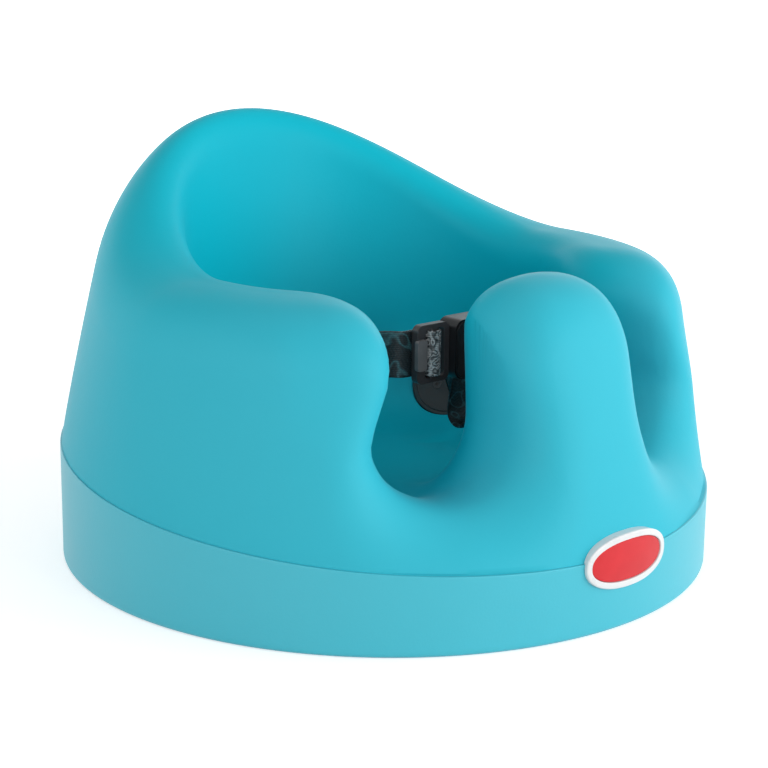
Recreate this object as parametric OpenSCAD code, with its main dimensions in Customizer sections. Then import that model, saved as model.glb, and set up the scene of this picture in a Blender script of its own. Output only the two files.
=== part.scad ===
// Baby floor seat: a moulded foam tub with two leg openings and a centre post,
// and a three-point lap harness held in the bowl by three round anchors.
// Origin at the centre of the underside, +Z up, the front with its badge faces -Y.

/* [Base] */
// Outer radius of the band round the foot
band_r = 185; // [180:1:192]
// Thickness of the band
band_wall = 12.5; // [9:0.5:16]
// Height of the seam at the front
seam_front_z = 39.5; // [34:0.5:46]
// Height of the seam at the back
seam_back_z = 73.5; // [62:0.5:78]
// Radius of the band's bottom edge
band_foot_r = 2.5; // [1.5:0.5:6]
// Step between the band and the body above it
seam_step = 1; // [0.6:0.1:2]

/* [Tub] */
// Height of the arms
arm_top_z = 170; // [162:0.5:178]
// Height of the centre post's shoulders
post_top_z = 167.5; // [160:0.5:176]
// Rise of the post's domed top above its shoulders
post_crown = 8; // [4:1:12]
// Half the angle that the dome covers
crown_angle = 24; // [18:1:30]
// Height of the back
back_top_z = 245.5; // [234:0.5:256]
// Angle from the front at which the back begins to rise
back_start = 90; // [84:1:96]
// How early the back rises: smaller is earlier
rise_power = 0.9; // [0.8:0.05:1.2]
// How far the wall leans in at the arms
arm_taper = 15; // [9:0.5:18]
// How far the wall leans in at the back
back_taper = 42; // [36:1:52]
// How far the wall leans in at the centre post
post_taper = 35; // [28:1:40]
// Shape of the lean: 1 is straight, more is rounder
taper_power = 1.1; // [1:0.05:1.6]
// How early the wall leans and the rim thins on the way to the back: smaller is earlier
taper_spread = 0.62; // [0.56:0.02:1]

/* [Bowl] */
// Height of the seat's floor
floor_z = 50; // [44:1:56]
// Reach of the round between the floor and the wall
floor_blend = 60; // [50:1:70]
// Bowl radius at the foot of the wall, at the arms
bowl_arm_r = 106; // [100:1:110]
// Bowl radius at the foot of the wall, at the back
bowl_back_r = 105; // [98:1:110]
// Bowl radius at the foot of the wall, at the centre post
bowl_post_r = 100; // [94:1:103]
// Bowl radius at the rim, at the arms
rim_arm_r = 106; // [100:1:112]
// Bowl radius at the rim, at the back
rim_back_r = 122; // [108:1:124]
// Bowl radius at the rim, at the centre post
rim_post_r = 97; // [92:1:101]
// Reach of the rim's outer round, at the arms
round_arm = 34; // [26:1:40]
// Reach of the rim's outer round, at the back
round_back = 24; // [18:1:34]
// Reach of the rim's outer round, at the centre post
round_post = 32; // [24:1:38]
// Reach of the rim's inner round
round_inner = 22; // [16:1:30]

/* [Leg openings] */
// Half the width of the centre post
post_half = 43; // [39:1:46]
// How much wider the post grows at its foot
post_flare = 13; // [4:1:16]
// Height of the post's waist, below which it widens
flare_z = 105; // [95:1:115]
// How much the post narrows at its waist
post_waist = 2.5; // [0:0.5:5]
// Reach of the waist above and below its height
waist_reach = 34; // [26:1:44]
// Roundness of the post's front face
post_round = 10; // [4:1:20]
// Half the distance between the arm ends
arm_gap = 112; // [108:1:116]
// Distance of the arm ends in front of the centre
arm_front = 110; // [106:1:114]
// Angle of the arm ends to the front
arm_angle = 26; // [22:1:32]
// Height of the leg opening's sill at its ridge, before the ridge is rounded
sill_z = 71; // [67:1:76]
// Fall of the sill from its ridge towards the bowl
sill_slope = 0.45; // [0.34:0.01:0.56]
// Fall of the sill from its ridge towards the outside
sill_fall = 0.4; // [0.3:0.02:0.5]
// Reach of the round at the foot of the arm ends
sill_arm_blend = 48; // [40:1:56]
// Reach of the round at the foot of the post
sill_post_blend = 32; // [24:1:40]
// Reach of the round along the opening's edges
lip_blend = 26; // [20:1:32]
// How far the arm ends lean over the openings
arm_lean = 14; // [8:1:18]
// Height of the lean's fullest point
lean_z = 145; // [136:1:152]
// Reach of the lean above and below that point
lean_reach = 52; // [44:1:60]

/* [Badge] */
// Width of the badge's rim
badge_w = 60; // [50:1:68]
// Height of the badge's rim
badge_h = 29; // [24:1:34]
// Height of the badge's centre
badge_z = 37; // [32:1:42]
// Width of the rim round the coloured face
badge_border = 3.6; // [2.5:0.1:5]
// How far the rim stands out from the band
badge_proud = 2; // [1:0.1:3]
// How far the face lies below the rim
badge_sink = 0.6; // [0.3:0.1:1]

/* [Anchors] */
// Angle of the lap anchors from the front
anchor_angle = 113; // [105:1:120]
// Height of the lap anchors
anchor_z = 73; // [71:1:82]
// Turn of the lap anchors' slots
anchor_turn = 30; // [0:1:40]
// Height of the crotch anchor
crotch_z = 108; // [100:1:116]
// Radius of an anchor's cover
cover_r = 24; // [22:0.5:26]
// Thickness of an anchor's cover
cover_t = 3; // [2.5:0.1:4]
// Radius of the cup moulded into the foam
cup_r = 18; // [17.5:0.1:19.5]
// Depth of the cup
cup_depth = 21; // [19:0.5:24]
// Wall of the cup
cup_wall = 2.2; // [1.8:0.1:2.6]
// Radius of the pin that the strap loops round
pin_r = 2.5; // [2:0.1:3]
// Distance of the cover's screws from its slot
screw_gap = 7.5; // [7.2:0.1:9]

/* [Webbing] */
// Width of the webbing
web_w = 25; // [22:0.5:25.4]
// Thickness of the webbing
web_t = 1.4; // [1.2:0.1:1.7]
// Free length of a lap strap's tail beyond its plug
tail_len = 42; // [30:1:50]

/* [Buckle] */
// Distance of the buckle's middle plane in front of the centre
buckle_y = 67; // [66:1:68]
// Height of the buckle's centre
buckle_z = 128.5; // [127:0.5:131]
// Width of the buckle's housing
buckle_w = 34; // [34:0.5:36]
// Height of the buckle's housing
buckle_h = 33; // [33:0.5:36]
// Thickness of the buckle's housing
buckle_t = 16; // [16:0.5:18]
// Wall of the buckle's housing
buckle_wall = 1.8; // [1.4:0.1:2]
// Radius of the release button
button_r = 7; // [6:0.1:7.5]
// Travel of the release button
button_travel = 2.8; // [2.6:0.1:2.9]

/* [Plugs] */
// Length of a plug's frame
frame_len = 23.5; // [22:0.5:26]
// Height of a plug's frame
frame_h = 32; // [31:0.5:34]
// Thickness of a plug's frame
frame_t = 5; // [4:0.1:5.5]
// Radius of the bar that the webbing wraps round
bar_r = 3.4; // [2.8:0.1:3.6]
// Height of a plug's tongue
tongue_h = 16; // [14:0.5:16.5]
// Thickness of a plug's tongue
tongue_t = 2; // [1.6:0.1:2.2]

/* [Hidden] */
foam_blue = [0.17, 0.67, 0.76];
hard_black = [0.12, 0.12, 0.13];
web_black = [0.07, 0.1, 0.11];
steel = [0.7, 0.71, 0.73];
fit_gap = 0.3;
run_gap = 0.05;
$fn = 48;

// ---- arithmetic of the rounded solid ----
function unit(t) = min(max(t, 0), 1);
function ease(t) = let (c = unit(t)) c * c * (3 - 2 * c);
function ease_long(t) = let (c = unit(t)) c * c * c * (c * (6 * c - 15) + 10);
function bump(t) = pow(unit(1 - t * t), 2);
function mix(a, b, t) = a + (b - a) * t;
// the larger of two values, with the corner between them rounded over a reach k
function round_max(a, b, k) = let (h = max(k - abs(a - b), 0) / k) max(a, b) + h * h * k / 4;
function round_min(a, b, k) = -round_max(-a, -b, k);

// ---- the tub: one value that is negative in the foam and positive outside it ----
body_r = band_r - seam_step;
seam_mid_z = (seam_front_z + seam_back_z) / 2;
seam_rise = (seam_back_z - seam_front_z) / 2;
function seam_z(r, a) = seam_mid_z - seam_rise * r / body_r * cos(a);
function back_share(a) = a > back_start ? (1 - cos(180 * (a - back_start) / (180 - back_start))) / 2 : 0;
front_full = 12;
front_fade = 48;
function front_share(a) = 1 - ease_long((a - front_full) / front_fade);
function three(arm, back, front, a) = arm + (back - arm) * back_share(a) + (front - arm) * front_share(a);
// what a half plane at angle a from the front needs: top, seam, taper, rim and bowl radius, outer round
function column(a) = [
    arm_top_z + (back_top_z - arm_top_z) * pow(back_share(a), rise_power)
        + (post_top_z - arm_top_z) * front_share(a) + post_crown * bump(a / crown_angle),
    seam_z(body_r, a),
    arm_taper + (back_taper - arm_taper) * pow(back_share(a), taper_spread)
        + (post_taper - arm_taper) * front_share(a),
    rim_arm_r + (rim_back_r - rim_arm_r) * pow(back_share(a), taper_spread)
        + (rim_post_r - rim_arm_r) * front_share(a),
    three(bowl_arm_r, bowl_back_r, bowl_post_r, a),
    three(round_arm, round_back, round_post, a)];
function outer_side(c, r, z) = let (u = min(max((z - c[1]) / (c[0] - c[1]), 0), 1.2))
    r - body_r + c[2] * pow(u, taper_power);
function inner_side(c, r, z) = c[4] + (c[3] - c[4]) * min(max((z - floor_z) / (c[0] - floor_z), 0), 1.2) - r;
function tub(c, r, z) = round_max(
    round_max(outer_side(c, r, z), z - c[0], c[5]),
    round_min(inner_side(c, r, z), z - floor_z, floor_blend), round_inner);
flare_reach = 60;
function post_edge(z) = post_half + post_flare * pow(min(max((flare_z - z) / flare_reach, 0), 2), 2)
    - post_waist * bump((z - flare_z) / waist_reach);
function soft_abs(x) = sqrt(x * x + post_round * post_round);
// distance from the arm end's plane: positive in the arm
function arm_side(x, f) = (x - arm_gap) * cos(arm_angle) - (f - arm_front) * sin(arm_angle);
sill_r = 146;
sill_round = 16;
sill_foot = 8;
opening_start = 10;
// height of the sill at radius r: a rounded ridge that falls outwards, and inwards to the bowl's floor
function sill_at(r) = let (
        inner = sill_z - sill_slope * (sill_r - r),
        outer = sill_z - sill_fall * (r - sill_r))
    round_max(round_min(inner, outer, sill_round), floor_z, sill_foot);
function opening(x, f, r, z) = min(f - opening_start, round_min(
    round_min(-arm_side(x, f), z - sill_at(r), sill_arm_blend),
    soft_abs(x) - soft_abs(post_edge(z)), sill_post_blend));
function foam(c, a, r, z) = round_max(tub(c, r, z), opening(r * sin(a), r * cos(a), r, z), lip_blend);
// walks from a point in the foam towards a target until it comes out
function walk(c, a, from, dir, t, left) = let (f = foam(c, a, from[0] + dir[0] * t, from[1] + dir[1] * t))
    f > -0.02 || left == 0 ? from + dir * t : walk(c, a, from, dir, t - f * 0.85, left - 1);
function skin_at(c, a, from, to) = walk(c, a, from, (to - from) / norm(to - from), 0, 60);
// radius of the bowl's wall at angle a and height z
core_r = 140;
function wall_r(a, z) = skin_at(column(a), a, [core_r, z], [0, z])[0];

// ---- the tub's mesh: half planes round the centre, each with a fan of rays ----
half_columns = 60;
rows = 29;
// closer together at the sides of the post and at the arm ends, and over the rim
function column_angle(t) = lookup(t, [[0, 0], [0.05, 10], [0.28, 27], [0.36, 38], [0.68, 64], [1, 180]]);
function row_guide(t) = lookup(t, [[0, 0], [0.2, 3], [0.7, 7], [1, 10.99]]);
// root of the rays: nearer the centre beside the post, further out beside the arm ends
function root_r(a) = 146 - 30 * bump((a - 19) / 16) + 17 * bump((a - 47) / 16);
root_z = 48;
// rows of [target radius, target height, root radius, root height]
function guide(c, a) = let (h = c[0] - c[1], q = root_r(a)) [
    [body_r, c[1], q, c[1]],
    [body_r, c[1] + h / 4, q, root_z],
    [body_r, c[1] + h / 2, q, root_z],
    [body_r - 4, c[1] + h * 0.8, q, root_z],
    [body_r - 14, c[0] + 6, q, root_z],
    [c[3] + 10, c[0] + 10, q, root_z],
    [c[3] - 6, c[0] - 14, q, root_z],
    [c[4] - 4, floor_z + (c[0] - floor_z) / 2, q - 4, 44],
    [c[4] - 10, floor_z + (c[0] - floor_z) / 5, q / 2 + 66, 30],
    [c[4] - 28, floor_z, 100, 10],
    [c[4] * 0.4, floor_z, 50, 0],
    [0.5, floor_z, 0.5, 0]];
function at_guide(g, v) = let (k = min(floor(v), len(g) - 2)) mix(g[k], g[k + 1], v - k);
function tub_point(a, v) = let (
        c = column(a),
        g = at_guide(guide(c, a), v),
        p = v == 0 ? [body_r, c[1]] : skin_at(c, a, [g[2], g[3]], [g[0], g[1]]),
        x = p[0] * sin(a), f = p[0] * cos(a),
        push = arm_lean * bump((p[1] - lean_z) / lean_reach) * bump(arm_side(x, f) / 45)
            * ease((f - opening_start) / 60))
    [x - push * cos(arm_angle), -f - push * sin(arm_angle), p[1]];
function mirror_ring(half) = concat(half,
    [for (i = [len(half) - 2:-1:1]) [-half[i][0], half[i][1], half[i][2]]]);
function half_angles() = [for (i = [0:half_columns]) column_angle(i / half_columns)];
// closed skin over a stack of rings, with a point at each end
function ring_points(rings, low, high) = concat([low], [for (r = rings) each r], [high]);
// each four-sided patch is split along its shorter diagonal
function ring_faces(p, n, m) = concat(
    [for (j = [0:n - 1]) [0, 1 + j, 1 + (j + 1) % n]],
    [for (i = [0:m - 2], j = [0:n - 1]) let (a = 1 + i * n + j, b = 1 + i * n + (j + 1) % n) each
        norm(p[a] - p[b + n]) < norm(p[a + n] - p[b])
            ? [[a, a + n, b + n], [a, b + n, b]]
            : [[a, a + n, b], [b, a + n, b + n]]],
    [for (j = [0:n - 1]) [1 + m * n, 1 + (m - 1) * n + (j + 1) % n, 1 + (m - 1) * n + j]]);

// ---- anchors ----
function anchor_tilt(a, z) = atan((wall_r(a, z + 8) - wall_r(a, z - 8)) / 16);
seat_lift = 1.5;
// place, heading, tilt and turn of an anchor whose local +Z looks into the bowl
function lap_anchor() = let (r = wall_r(anchor_angle, anchor_z))
    [[r * sin(anchor_angle), -r * cos(anchor_angle), anchor_z], 90 + anchor_angle,
        anchor_tilt(anchor_angle, anchor_z), anchor_turn];
function crotch_anchor() = [[0, -wall_r(0, crotch_z), crotch_z], 90, 0, 90];
function out_dir(k) = [cos(k[2]) * cos(k[1]), cos(k[2]) * sin(k[1]), sin(k[2])];
function slot_dir(k) = [sin(k[2]) * cos(k[1]), sin(k[2]) * sin(k[1]), -cos(k[2])] * cos(k[3])
    + [-sin(k[1]), cos(k[1]), 0] * sin(k[3]);
module at_anchor(k) {
    translate(k[0] + out_dir(k) * seat_lift)
        rotate([0, 0, k[1]]) rotate([0, 90 - k[2], 0]) rotate([0, 0, k[3]]) children();
}
flange_r = cup_r + 3;
flange_t = 2;
pin_depth = 12.5;
screw_r = 1.5;
head_r = 3;
head_t = 1.3;

// room in the foam for a cup, its flange and the cover
module anchor_room() {
    translate([0, 0, -cup_depth - fit_gap]) cylinder(r = cup_r + fit_gap, h = cup_depth + 1);
    translate([0, 0, -flange_t - fit_gap]) cylinder(r = flange_r + fit_gap, h = flange_t + 1);
    cylinder(r = cover_r + fit_gap, h = 30);
}

// ---- badge ----
badge_foot = 2;
module oval_prism(w, h, y0, y1) {
    translate([0, -y0, badge_z]) rotate([90, 0, 0])
        linear_extrude(height = y1 - y0)
            polygon([for (i = [0:59]) [w / 2 * cos(6 * i), h / 2 * sin(6 * i)]]);
}
module shell(r0, r1) {
    difference() {
        cylinder(r = r1, h = 120, $fn = 96);
        translate([0, 0, -1]) cylinder(r = r0, h = 122, $fn = 96);
    }
}
peg_r = 2.2;
peg_len = 11;
peg_x = 16;
module badge_pegs(extra) {
    for (s = [-1, 1]) translate([s * peg_x, -body_r + badge_foot, badge_z]) rotate([-90, 0, 0])
        cylinder(r = peg_r + extra, h = peg_len + extra);
}
module badge_room() {
    intersection() {
        oval_prism(badge_w + 2 * fit_gap, badge_h + 2 * fit_gap, band_r - 20, band_r + 20);
        shell(body_r - badge_foot - fit_gap, band_r + 20);
    }
    badge_pegs(fit_gap);
}

// ---- base ----
module below_seam() {
    translate([0, 0, seam_mid_z]) rotate([atan(seam_rise / body_r), 0, 0])
        translate([-250, -250, -200]) cube([500, 500, 200]);
}
module foam_body() {
    angles = half_angles();
    inner_r = band_r - band_wall - fit_gap;
    rings = concat(
        [mirror_ring([for (a = angles) [inner_r * sin(a), -inner_r * cos(a), 0]])],
        [mirror_ring([for (a = angles) [inner_r * sin(a), -inner_r * cos(a), seam_z(inner_r, a)]])],
        [for (i = [0:rows]) mirror_ring([for (a = angles) tub_point(a, row_guide(i / rows))])]);
    points = ring_points(rings, [0, 0, 0], [0, 0, floor_z]);
    color(foam_blue) difference() {
        polyhedron(points, ring_faces(points, 2 * half_columns, len(rings)), convexity = 8);
        for (s = [0, 1]) mirror([s, 0, 0]) at_anchor(lap_anchor()) anchor_room();
        at_anchor(crotch_anchor()) anchor_room();
        badge_room();
    }
}
module base_band() {
    inner_r = band_r - band_wall;
    color(foam_blue) difference() {
        intersection() {
            rotate_extrude($fn = 96) union() {
                translate([inner_r, 0]) square([band_wall - band_foot_r, 120]);
                translate([band_r - band_foot_r - 0.01, band_foot_r])
                    square([band_foot_r + 0.01, 120 - band_foot_r]);
                translate([band_r - band_foot_r, band_foot_r]) circle(r = band_foot_r);
            }
            below_seam();
        }
        badge_room();
    }
}
module badge_rim() {
    color("white") {
        difference() {
            intersection() {
                oval_prism(badge_w, badge_h, band_r - 20, band_r + 20);
                shell(body_r - badge_foot, band_r + badge_proud);
            }
            intersection() {
                oval_prism(badge_w - 2 * badge_border, badge_h - 2 * badge_border, band_r - 20, band_r + 20);
                shell(band_r - 0.2, band_r + badge_proud + 5);
            }
        }
        badge_pegs(0);
    }
}
module badge_face() {
    border = badge_border + fit_gap / 2;
    color([0.87, 0.22, 0.25]) intersection() {
        oval_prism(badge_w - 2 * border, badge_h - 2 * border, band_r - 20, band_r + 20);
        shell(band_r - 0.2, band_r + badge_proud - badge_sink);
    }
}

// ---- anchor hardware, in its own frame ----
module anchor_cup() {
    difference() {
        union() {
            translate([0, 0, -cup_depth]) cylinder(r = cup_r, h = cup_depth);
            translate([0, 0, -flange_t]) cylinder(r = flange_r, h = flange_t);
        }
        difference() {
            translate([0, 0, cup_wall - cup_depth]) cylinder(r = cup_r - cup_wall, h = cup_depth);
            for (s = [-1, 1]) translate([0, s * screw_gap, -cup_depth])
                cylinder(r = screw_r + 1.2, h = cup_depth - 0.4);
        }
        for (s = [-1, 1]) translate([0, s * screw_gap, -12]) cylinder(r = screw_r + 0.02, h = 13);
        translate([-cup_r - 1, 0, -pin_depth]) rotate([0, 90, 0])
            cylinder(r = pin_r + run_gap, h = 2 * cup_r + 2);
    }
}
module anchor_pin() {
    translate([0.3 - cup_r, 0, -pin_depth]) rotate([0, 90, 0]) cylinder(r = pin_r, h = 2 * cup_r - 0.6);
}
slot_t = 4;
slot_w = web_w + 2.4;
module slot_hole(h) {
    for (s = [-1, 1]) translate([s * (slot_w - slot_t) / 2, 0, -1]) cylinder(r = slot_t / 2, h = h);
    translate([(slot_t - slot_w) / 2, -slot_t / 2, -1]) cube([slot_w - slot_t, slot_t, h]);
}
module anchor_cover() {
    bead = 0.9;
    difference() {
        union() {
            rotate_extrude() union() {
                square([cover_r - 1, cover_t]);
                square([cover_r, cover_t - 1]);
                translate([cover_r - 1, cover_t - 1]) circle(r = 1);
            }
            translate([0, 0, cover_t]) rotate_extrude() translate([cover_r - 3, 0]) circle(r = bead / 2);
        }
        slot_hole(cover_t + 3);
        for (s = [-1, 1]) translate([0, s * screw_gap, 0]) {
            translate([0, 0, -1]) cylinder(r = screw_r + 0.2, h = cover_t + 2);
            translate([0, 0, cover_t - head_t]) cylinder(r = head_r + 0.2, h = head_t + 2);
        }
    }
}
module anchor_screw() {
    difference() {
        union() {
            translate([0, 0, -10]) cylinder(r = screw_r, h = 10.3 + cover_t - head_t);
            translate([0, 0, cover_t - head_t]) cylinder(r = head_r, h = head_t);
        }
        for (q = [0, 90]) rotate([0, 0, q]) translate([-1.6, -0.35, cover_t - 0.7]) cube([3.2, 0.7, 2]);
    }
}
module place_left() { mirror([1, 0, 0]) at_anchor(lap_anchor()) children(); }
module place_right() { at_anchor(lap_anchor()) children(); }
module place_crotch() { at_anchor(crotch_anchor()) children(); }
module anchor_cup_left() { color(hard_black) place_left() anchor_cup(); }
module anchor_cup_right() { color(hard_black) place_right() anchor_cup(); }
module anchor_cup_crotch() { color(hard_black) place_crotch() anchor_cup(); }
module anchor_pin_left() { color(steel) place_left() anchor_pin(); }
module anchor_pin_right() { color(steel) place_right() anchor_pin(); }
module anchor_pin_crotch() { color(steel) place_crotch() anchor_pin(); }
module anchor_cover_left() { color(hard_black) place_left() anchor_cover(); }
module anchor_cover_right() { color(hard_black) place_right() anchor_cover(); }
module anchor_cover_crotch() { color(hard_black) place_crotch() anchor_cover(); }
module screw_pair() { for (s = [-1, 1]) translate([0, s * screw_gap, 0]) anchor_screw(); }
module anchor_screws() {
    color(steel) {
        place_left() screw_pair();
        place_right() screw_pair();
        place_crotch() screw_pair();
    }
}

// ---- webbing: a flat band swept along points, its width turning from one direction to another ----
function cubic(p, t) = p[0] * pow(1 - t, 3) + p[1] * 3 * t * pow(1 - t, 2) + p[2] * 3 * t * t * (1 - t)
    + p[3] * pow(t, 3);
function along(p, i) = let (d = p[min(i + 1, len(p) - 1)] - p[max(i - 1, 0)]) d / norm(d);
function flat(w, d) = let (q = w - d * (w * d)) q / norm(q);
// width directions at each point
function widths(p, w0, w1) = [for (i = [0:len(p) - 1])
    flat(mix(w0, w1, ease(i / (len(p) - 1))), along(p, i))];
module band(p, w, t) {
    pts = [for (i = [0:len(p) - 1]) let (n = cross(along(p, i), w[i])) each
        [for (q = [[-1, -1], [1, -1], [1, 1], [-1, 1]])
            p[i] + w[i] * q[0] * web_w / 2 + n * q[1] * t / 2]];
    m = len(p);
    polyhedron(pts, concat([[0, 1, 2], [0, 2, 3]],
        [for (i = [0:m - 2], j = [0:3]) let (a = 4 * i + j, b = 4 * i + (j + 1) % 4) each
            [[a, b + 4, b], [a, a + 4, b + 4]]],
        [[4 * m - 4, 4 * m - 2, 4 * m - 3], [4 * m - 4, 4 * m - 1, 4 * m - 2]]));
}
module eye(r) {
    difference() {
        cylinder(r = r + 0.2 + web_t, h = web_w - 0.3, center = true);
        cylinder(r = r + 0.2, h = web_w + 2, center = true);
    }
}
anchor_eye_top = pin_depth - pin_r - 0.2 - web_t / 2;
bar_x = buckle_w / 2 + 11;
wrap_r = bar_r + 0.2 + web_t / 2;
// the strap runs behind the plug's frame, forward through its window, round the bar and back out
lead_y = frame_t / 2 + 0.6 + web_t / 2;
tail_gap = web_t + 0.4;
function in_plug(x, y) = [bar_x + x, y - buckle_y, buckle_z];
function reach() = let (
        k = lap_anchor(),
        o = out_dir(k),
        s = k[0] + o * (seat_lift + cover_t + 2),
        b = in_plug(18, lead_y),
        curve = [s, s + o * 34 + [0, 0, 6], b + [21, 12, 5], b])
    concat([s - o * (cover_t + 2 + anchor_eye_top), s - o * (cover_t + 6)],
        [for (i = [0:18]) cubic(curve, i / 18)]);
function wrap() = let (
        curve = [in_plug(9, lead_y), in_plug(6, lead_y), in_plug(wrap_r, 2.5), in_plug(wrap_r, 0)])
    concat([for (i = [0:5]) cubic(curve, i / 5)],
        [for (i = [1:12]) let (q = -i * 250 / 12) in_plug(wrap_r * cos(q), wrap_r * sin(q))],
        [in_plug(6, lead_y + tail_gap + 0.6)]);
// the tail follows the strap's own line behind it, away from the plug
function tail(p, w) = [for (i = [len(p) - 1:-1:len(p) - 1 - round(tail_len / 7)])
    p[i] - cross(along(p, i), w[i]) * tail_gap];
module lap_strap() {
    p = reach();
    w = widths(p, slot_dir(lap_anchor()), [0, 0, -1]);
    t = tail(p, w);
    n = len(p);
    tail_w = [for (i = [n - 1:-1:n - len(t)]) w[i]];
    middle = wrap();
    place_right() translate([0, 0, -pin_depth]) rotate([0, 90, 0]) eye(pin_r);
    band(concat(p, middle, t), concat(w, [for (q = middle) [0, 0, -1]], tail_w), web_t);
}
module lap_strap_left() { color(web_black) mirror([1, 0, 0]) lap_strap(); }
module lap_strap_right() { color(web_black) lap_strap(); }

// the crotch strap: out of its anchor, down, round a slack turn and up to the pin in the buckle
strap_pin_r = 1.6;
strap_pin_z = buckle_z - 11;
turn_r = 7.5;
turn_z = 92.5;
turn_out = 3;
drop_r = 8;
function arc(c, r, from, to, n) = [for (i = [0:n]) let (q = mix(from, to, i / n))
    [0, c[0] + r * cos(q), c[1] + r * sin(q)]];
function crotch_path() = let (
        k = crotch_anchor(),
        y0 = k[0][1] + seat_lift,
        turn_y = turn_out - buckle_y - turn_r,
        drop_y = turn_y - turn_r)
    concat([[0, y0 - anchor_eye_top, crotch_z], [0, y0, crotch_z]],
        arc([drop_y - drop_r, crotch_z - drop_r], drop_r, 90, 0, 6),
        arc([turn_y, turn_z], turn_r, 180, 360, 10),
        [for (t = [0.2:0.2:0.8]) [0, turn_out * (1 - ease(t)) - buckle_y,
            mix(turn_z, strap_pin_z - strap_pin_r - 2, t)]],
        [[0, -buckle_y, strap_pin_z - strap_pin_r - 2],
            [0, -buckle_y, strap_pin_z - strap_pin_r - 0.2 - web_t / 2]]);
module crotch_strap() {
    p = crotch_path();
    color(web_black) {
        place_crotch() translate([0, 0, -pin_depth]) rotate([0, 90, 0]) eye(pin_r);
        band(p, [for (q = p) [1, 0, 0]], web_t);
        translate([0, -buckle_y, strap_pin_z]) rotate([0, 90, 0]) eye(strap_pin_r);
    }
}

// ---- buckle, drawn about its centre with its front towards -Y ----
mech_z = 2;
// the leaf's hooks reach through the tongue and clear it when the button is fully pressed
tooth_tip_y = tongue_t / 2 + 0.8 - button_travel;
rib_y = min(-tongue_t / 2, tooth_tip_y) - fit_gap;
tongue_end = 5.2;
tooth_x0 = 8.9;
tooth_x1 = 12.1;
boss_x = buckle_w / 2 - 4.6;
boss_z = buckle_h / 2 - 4.6;
inner_w = buckle_w - 2 * buckle_wall;
inner_h = buckle_h - 2 * buckle_wall;
half_t = buckle_t / 2;
module at_buckle() { translate([0, -buckle_y, buckle_z]) children(); }
// plate of width w and height h with round corners, from y0 to y1
module plate(w, h, r, y0, y1) {
    translate([0, y1, 0]) rotate([90, 0, 0]) linear_extrude(height = y1 - y0) union() {
        square([w - 2 * r, h], center = true);
        square([w, h - 2 * r], center = true);
        for (x = [-1, 1], z = [-1, 1]) translate([x * (w / 2 - r), z * (h / 2 - r)]) circle(r = r);
    }
}
module block(x0, x1, y0, y1, z0, z1) { translate([x0, y0, z0]) cube([x1 - x0, y1 - y0, z1 - z0]); }
module rod_y(x, z, r, y0, y1) { translate([x, y1, z]) rotate([90, 0, 0]) cylinder(r = r, h = y1 - y0); }
module rod_x(x0, x1, z, r) { translate([x0, 0, z]) rotate([0, 90, 0]) cylinder(r = r, h = x1 - x0); }
// the ways through the housing: tongues at both sides, the strap below, and the strap's pin
module buckle_ways() {
    block(-buckle_w, buckle_w, -tongue_t / 2 - fit_gap, tongue_t / 2 + fit_gap,
        mech_z - tongue_h / 2 - 0.4, mech_z + tongue_h / 2 + 0.4);
    block(-web_w / 2 - 0.6, web_w / 2 + 0.6, -web_t / 2 - 0.5, web_t / 2 + 0.5, -buckle_h, -buckle_h / 2 + 6);
    rod_x(-inner_w / 2, inner_w / 2, strap_pin_z - buckle_z, strap_pin_r + run_gap);
}
module pin_seats(y0, y1) {
    for (s = [-1, 1]) {
        x = s * (web_w / 2 + 1.6);
        block(x - 0.9, x + 0.9, y0, y1, strap_pin_z - buckle_z - 3, strap_pin_z - buckle_z + 3);
    }
}
module buckle_front() {
    color(hard_black) at_buckle() difference() {
        union() {
            difference() {
                union() {
                    plate(buckle_w, buckle_h, 6, 1.2 - half_t, 0);
                    plate(buckle_w - 2, buckle_h - 2, 5, -half_t, 0);
                }
                plate(inner_w, inner_h, 4.2, buckle_wall - half_t, 1);
            }
            for (s = [-1, 1]) {
                rod_y(s * boss_x, boss_z, 2.4, 1 - half_t, 0);
                x = s * (inner_w / 2 - 2);
                block(x - 2.2, x + 2.2, 1 - half_t, rib_y, mech_z - 7, mech_z + 6);
            }
            pin_seats(1 - half_t, 0);
        }
        rod_y(0, mech_z, button_r + fit_gap, -half_t - 1, 3 - half_t);
        for (s = [-1, 1]) rod_y(s * boss_x, boss_z, 1, buckle_wall - half_t, 1);
        buckle_ways();
    }
}
module buckle_rear() {
    color(hard_black) at_buckle() difference() {
        union() {
            difference() {
                union() {
                    plate(buckle_w, buckle_h, 6, 0, half_t - 1.2);
                    plate(buckle_w - 2, buckle_h - 2, 5, 0, half_t);
                }
                plate(inner_w, inner_h, 4.2, -1, half_t - buckle_wall);
            }
            for (s = [-1, 1]) {
                rod_y(s * boss_x, boss_z, 2.4, 0, half_t - 1);
                x = s * (inner_w / 2 - 0.9);
                block(x - 0.9, x + 0.9, tongue_t / 2 + fit_gap, half_t - 1, mech_z - 7, mech_z + 6);
            }
            pin_seats(0, half_t - 1);
        }
        for (s = [-1, 1]) {
            rod_y(s * boss_x, boss_z, 1.15, -1, half_t + 1);
            rod_y(s * boss_x, boss_z, 2, half_t - 1.4, half_t + 1);
            z = mech_z + s * (leg_z - 0.7);
            block(-leg_x - 0.2, leg_x + 0.2, 2, half_t - buckle_wall + 0.35, z - 1, z + 1);
        }
        buckle_ways();
    }
}
module buckle_screws() {
    color(steel) at_buckle() for (s = [-1, 1]) difference() {
        union() {
            rod_y(s * boss_x, boss_z, 0.98, 3 - half_t, half_t - 1.4);
            rod_y(s * boss_x, boss_z, 1.85, half_t - 1.4, half_t - 0.3);
        }
        for (q = [0, 90]) translate([s * boss_x, 0, boss_z]) rotate([0, q, 0])
            block(-1.1, 1.1, half_t - 0.8, half_t + 1, -0.2, 0.2);
    }
}
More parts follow.
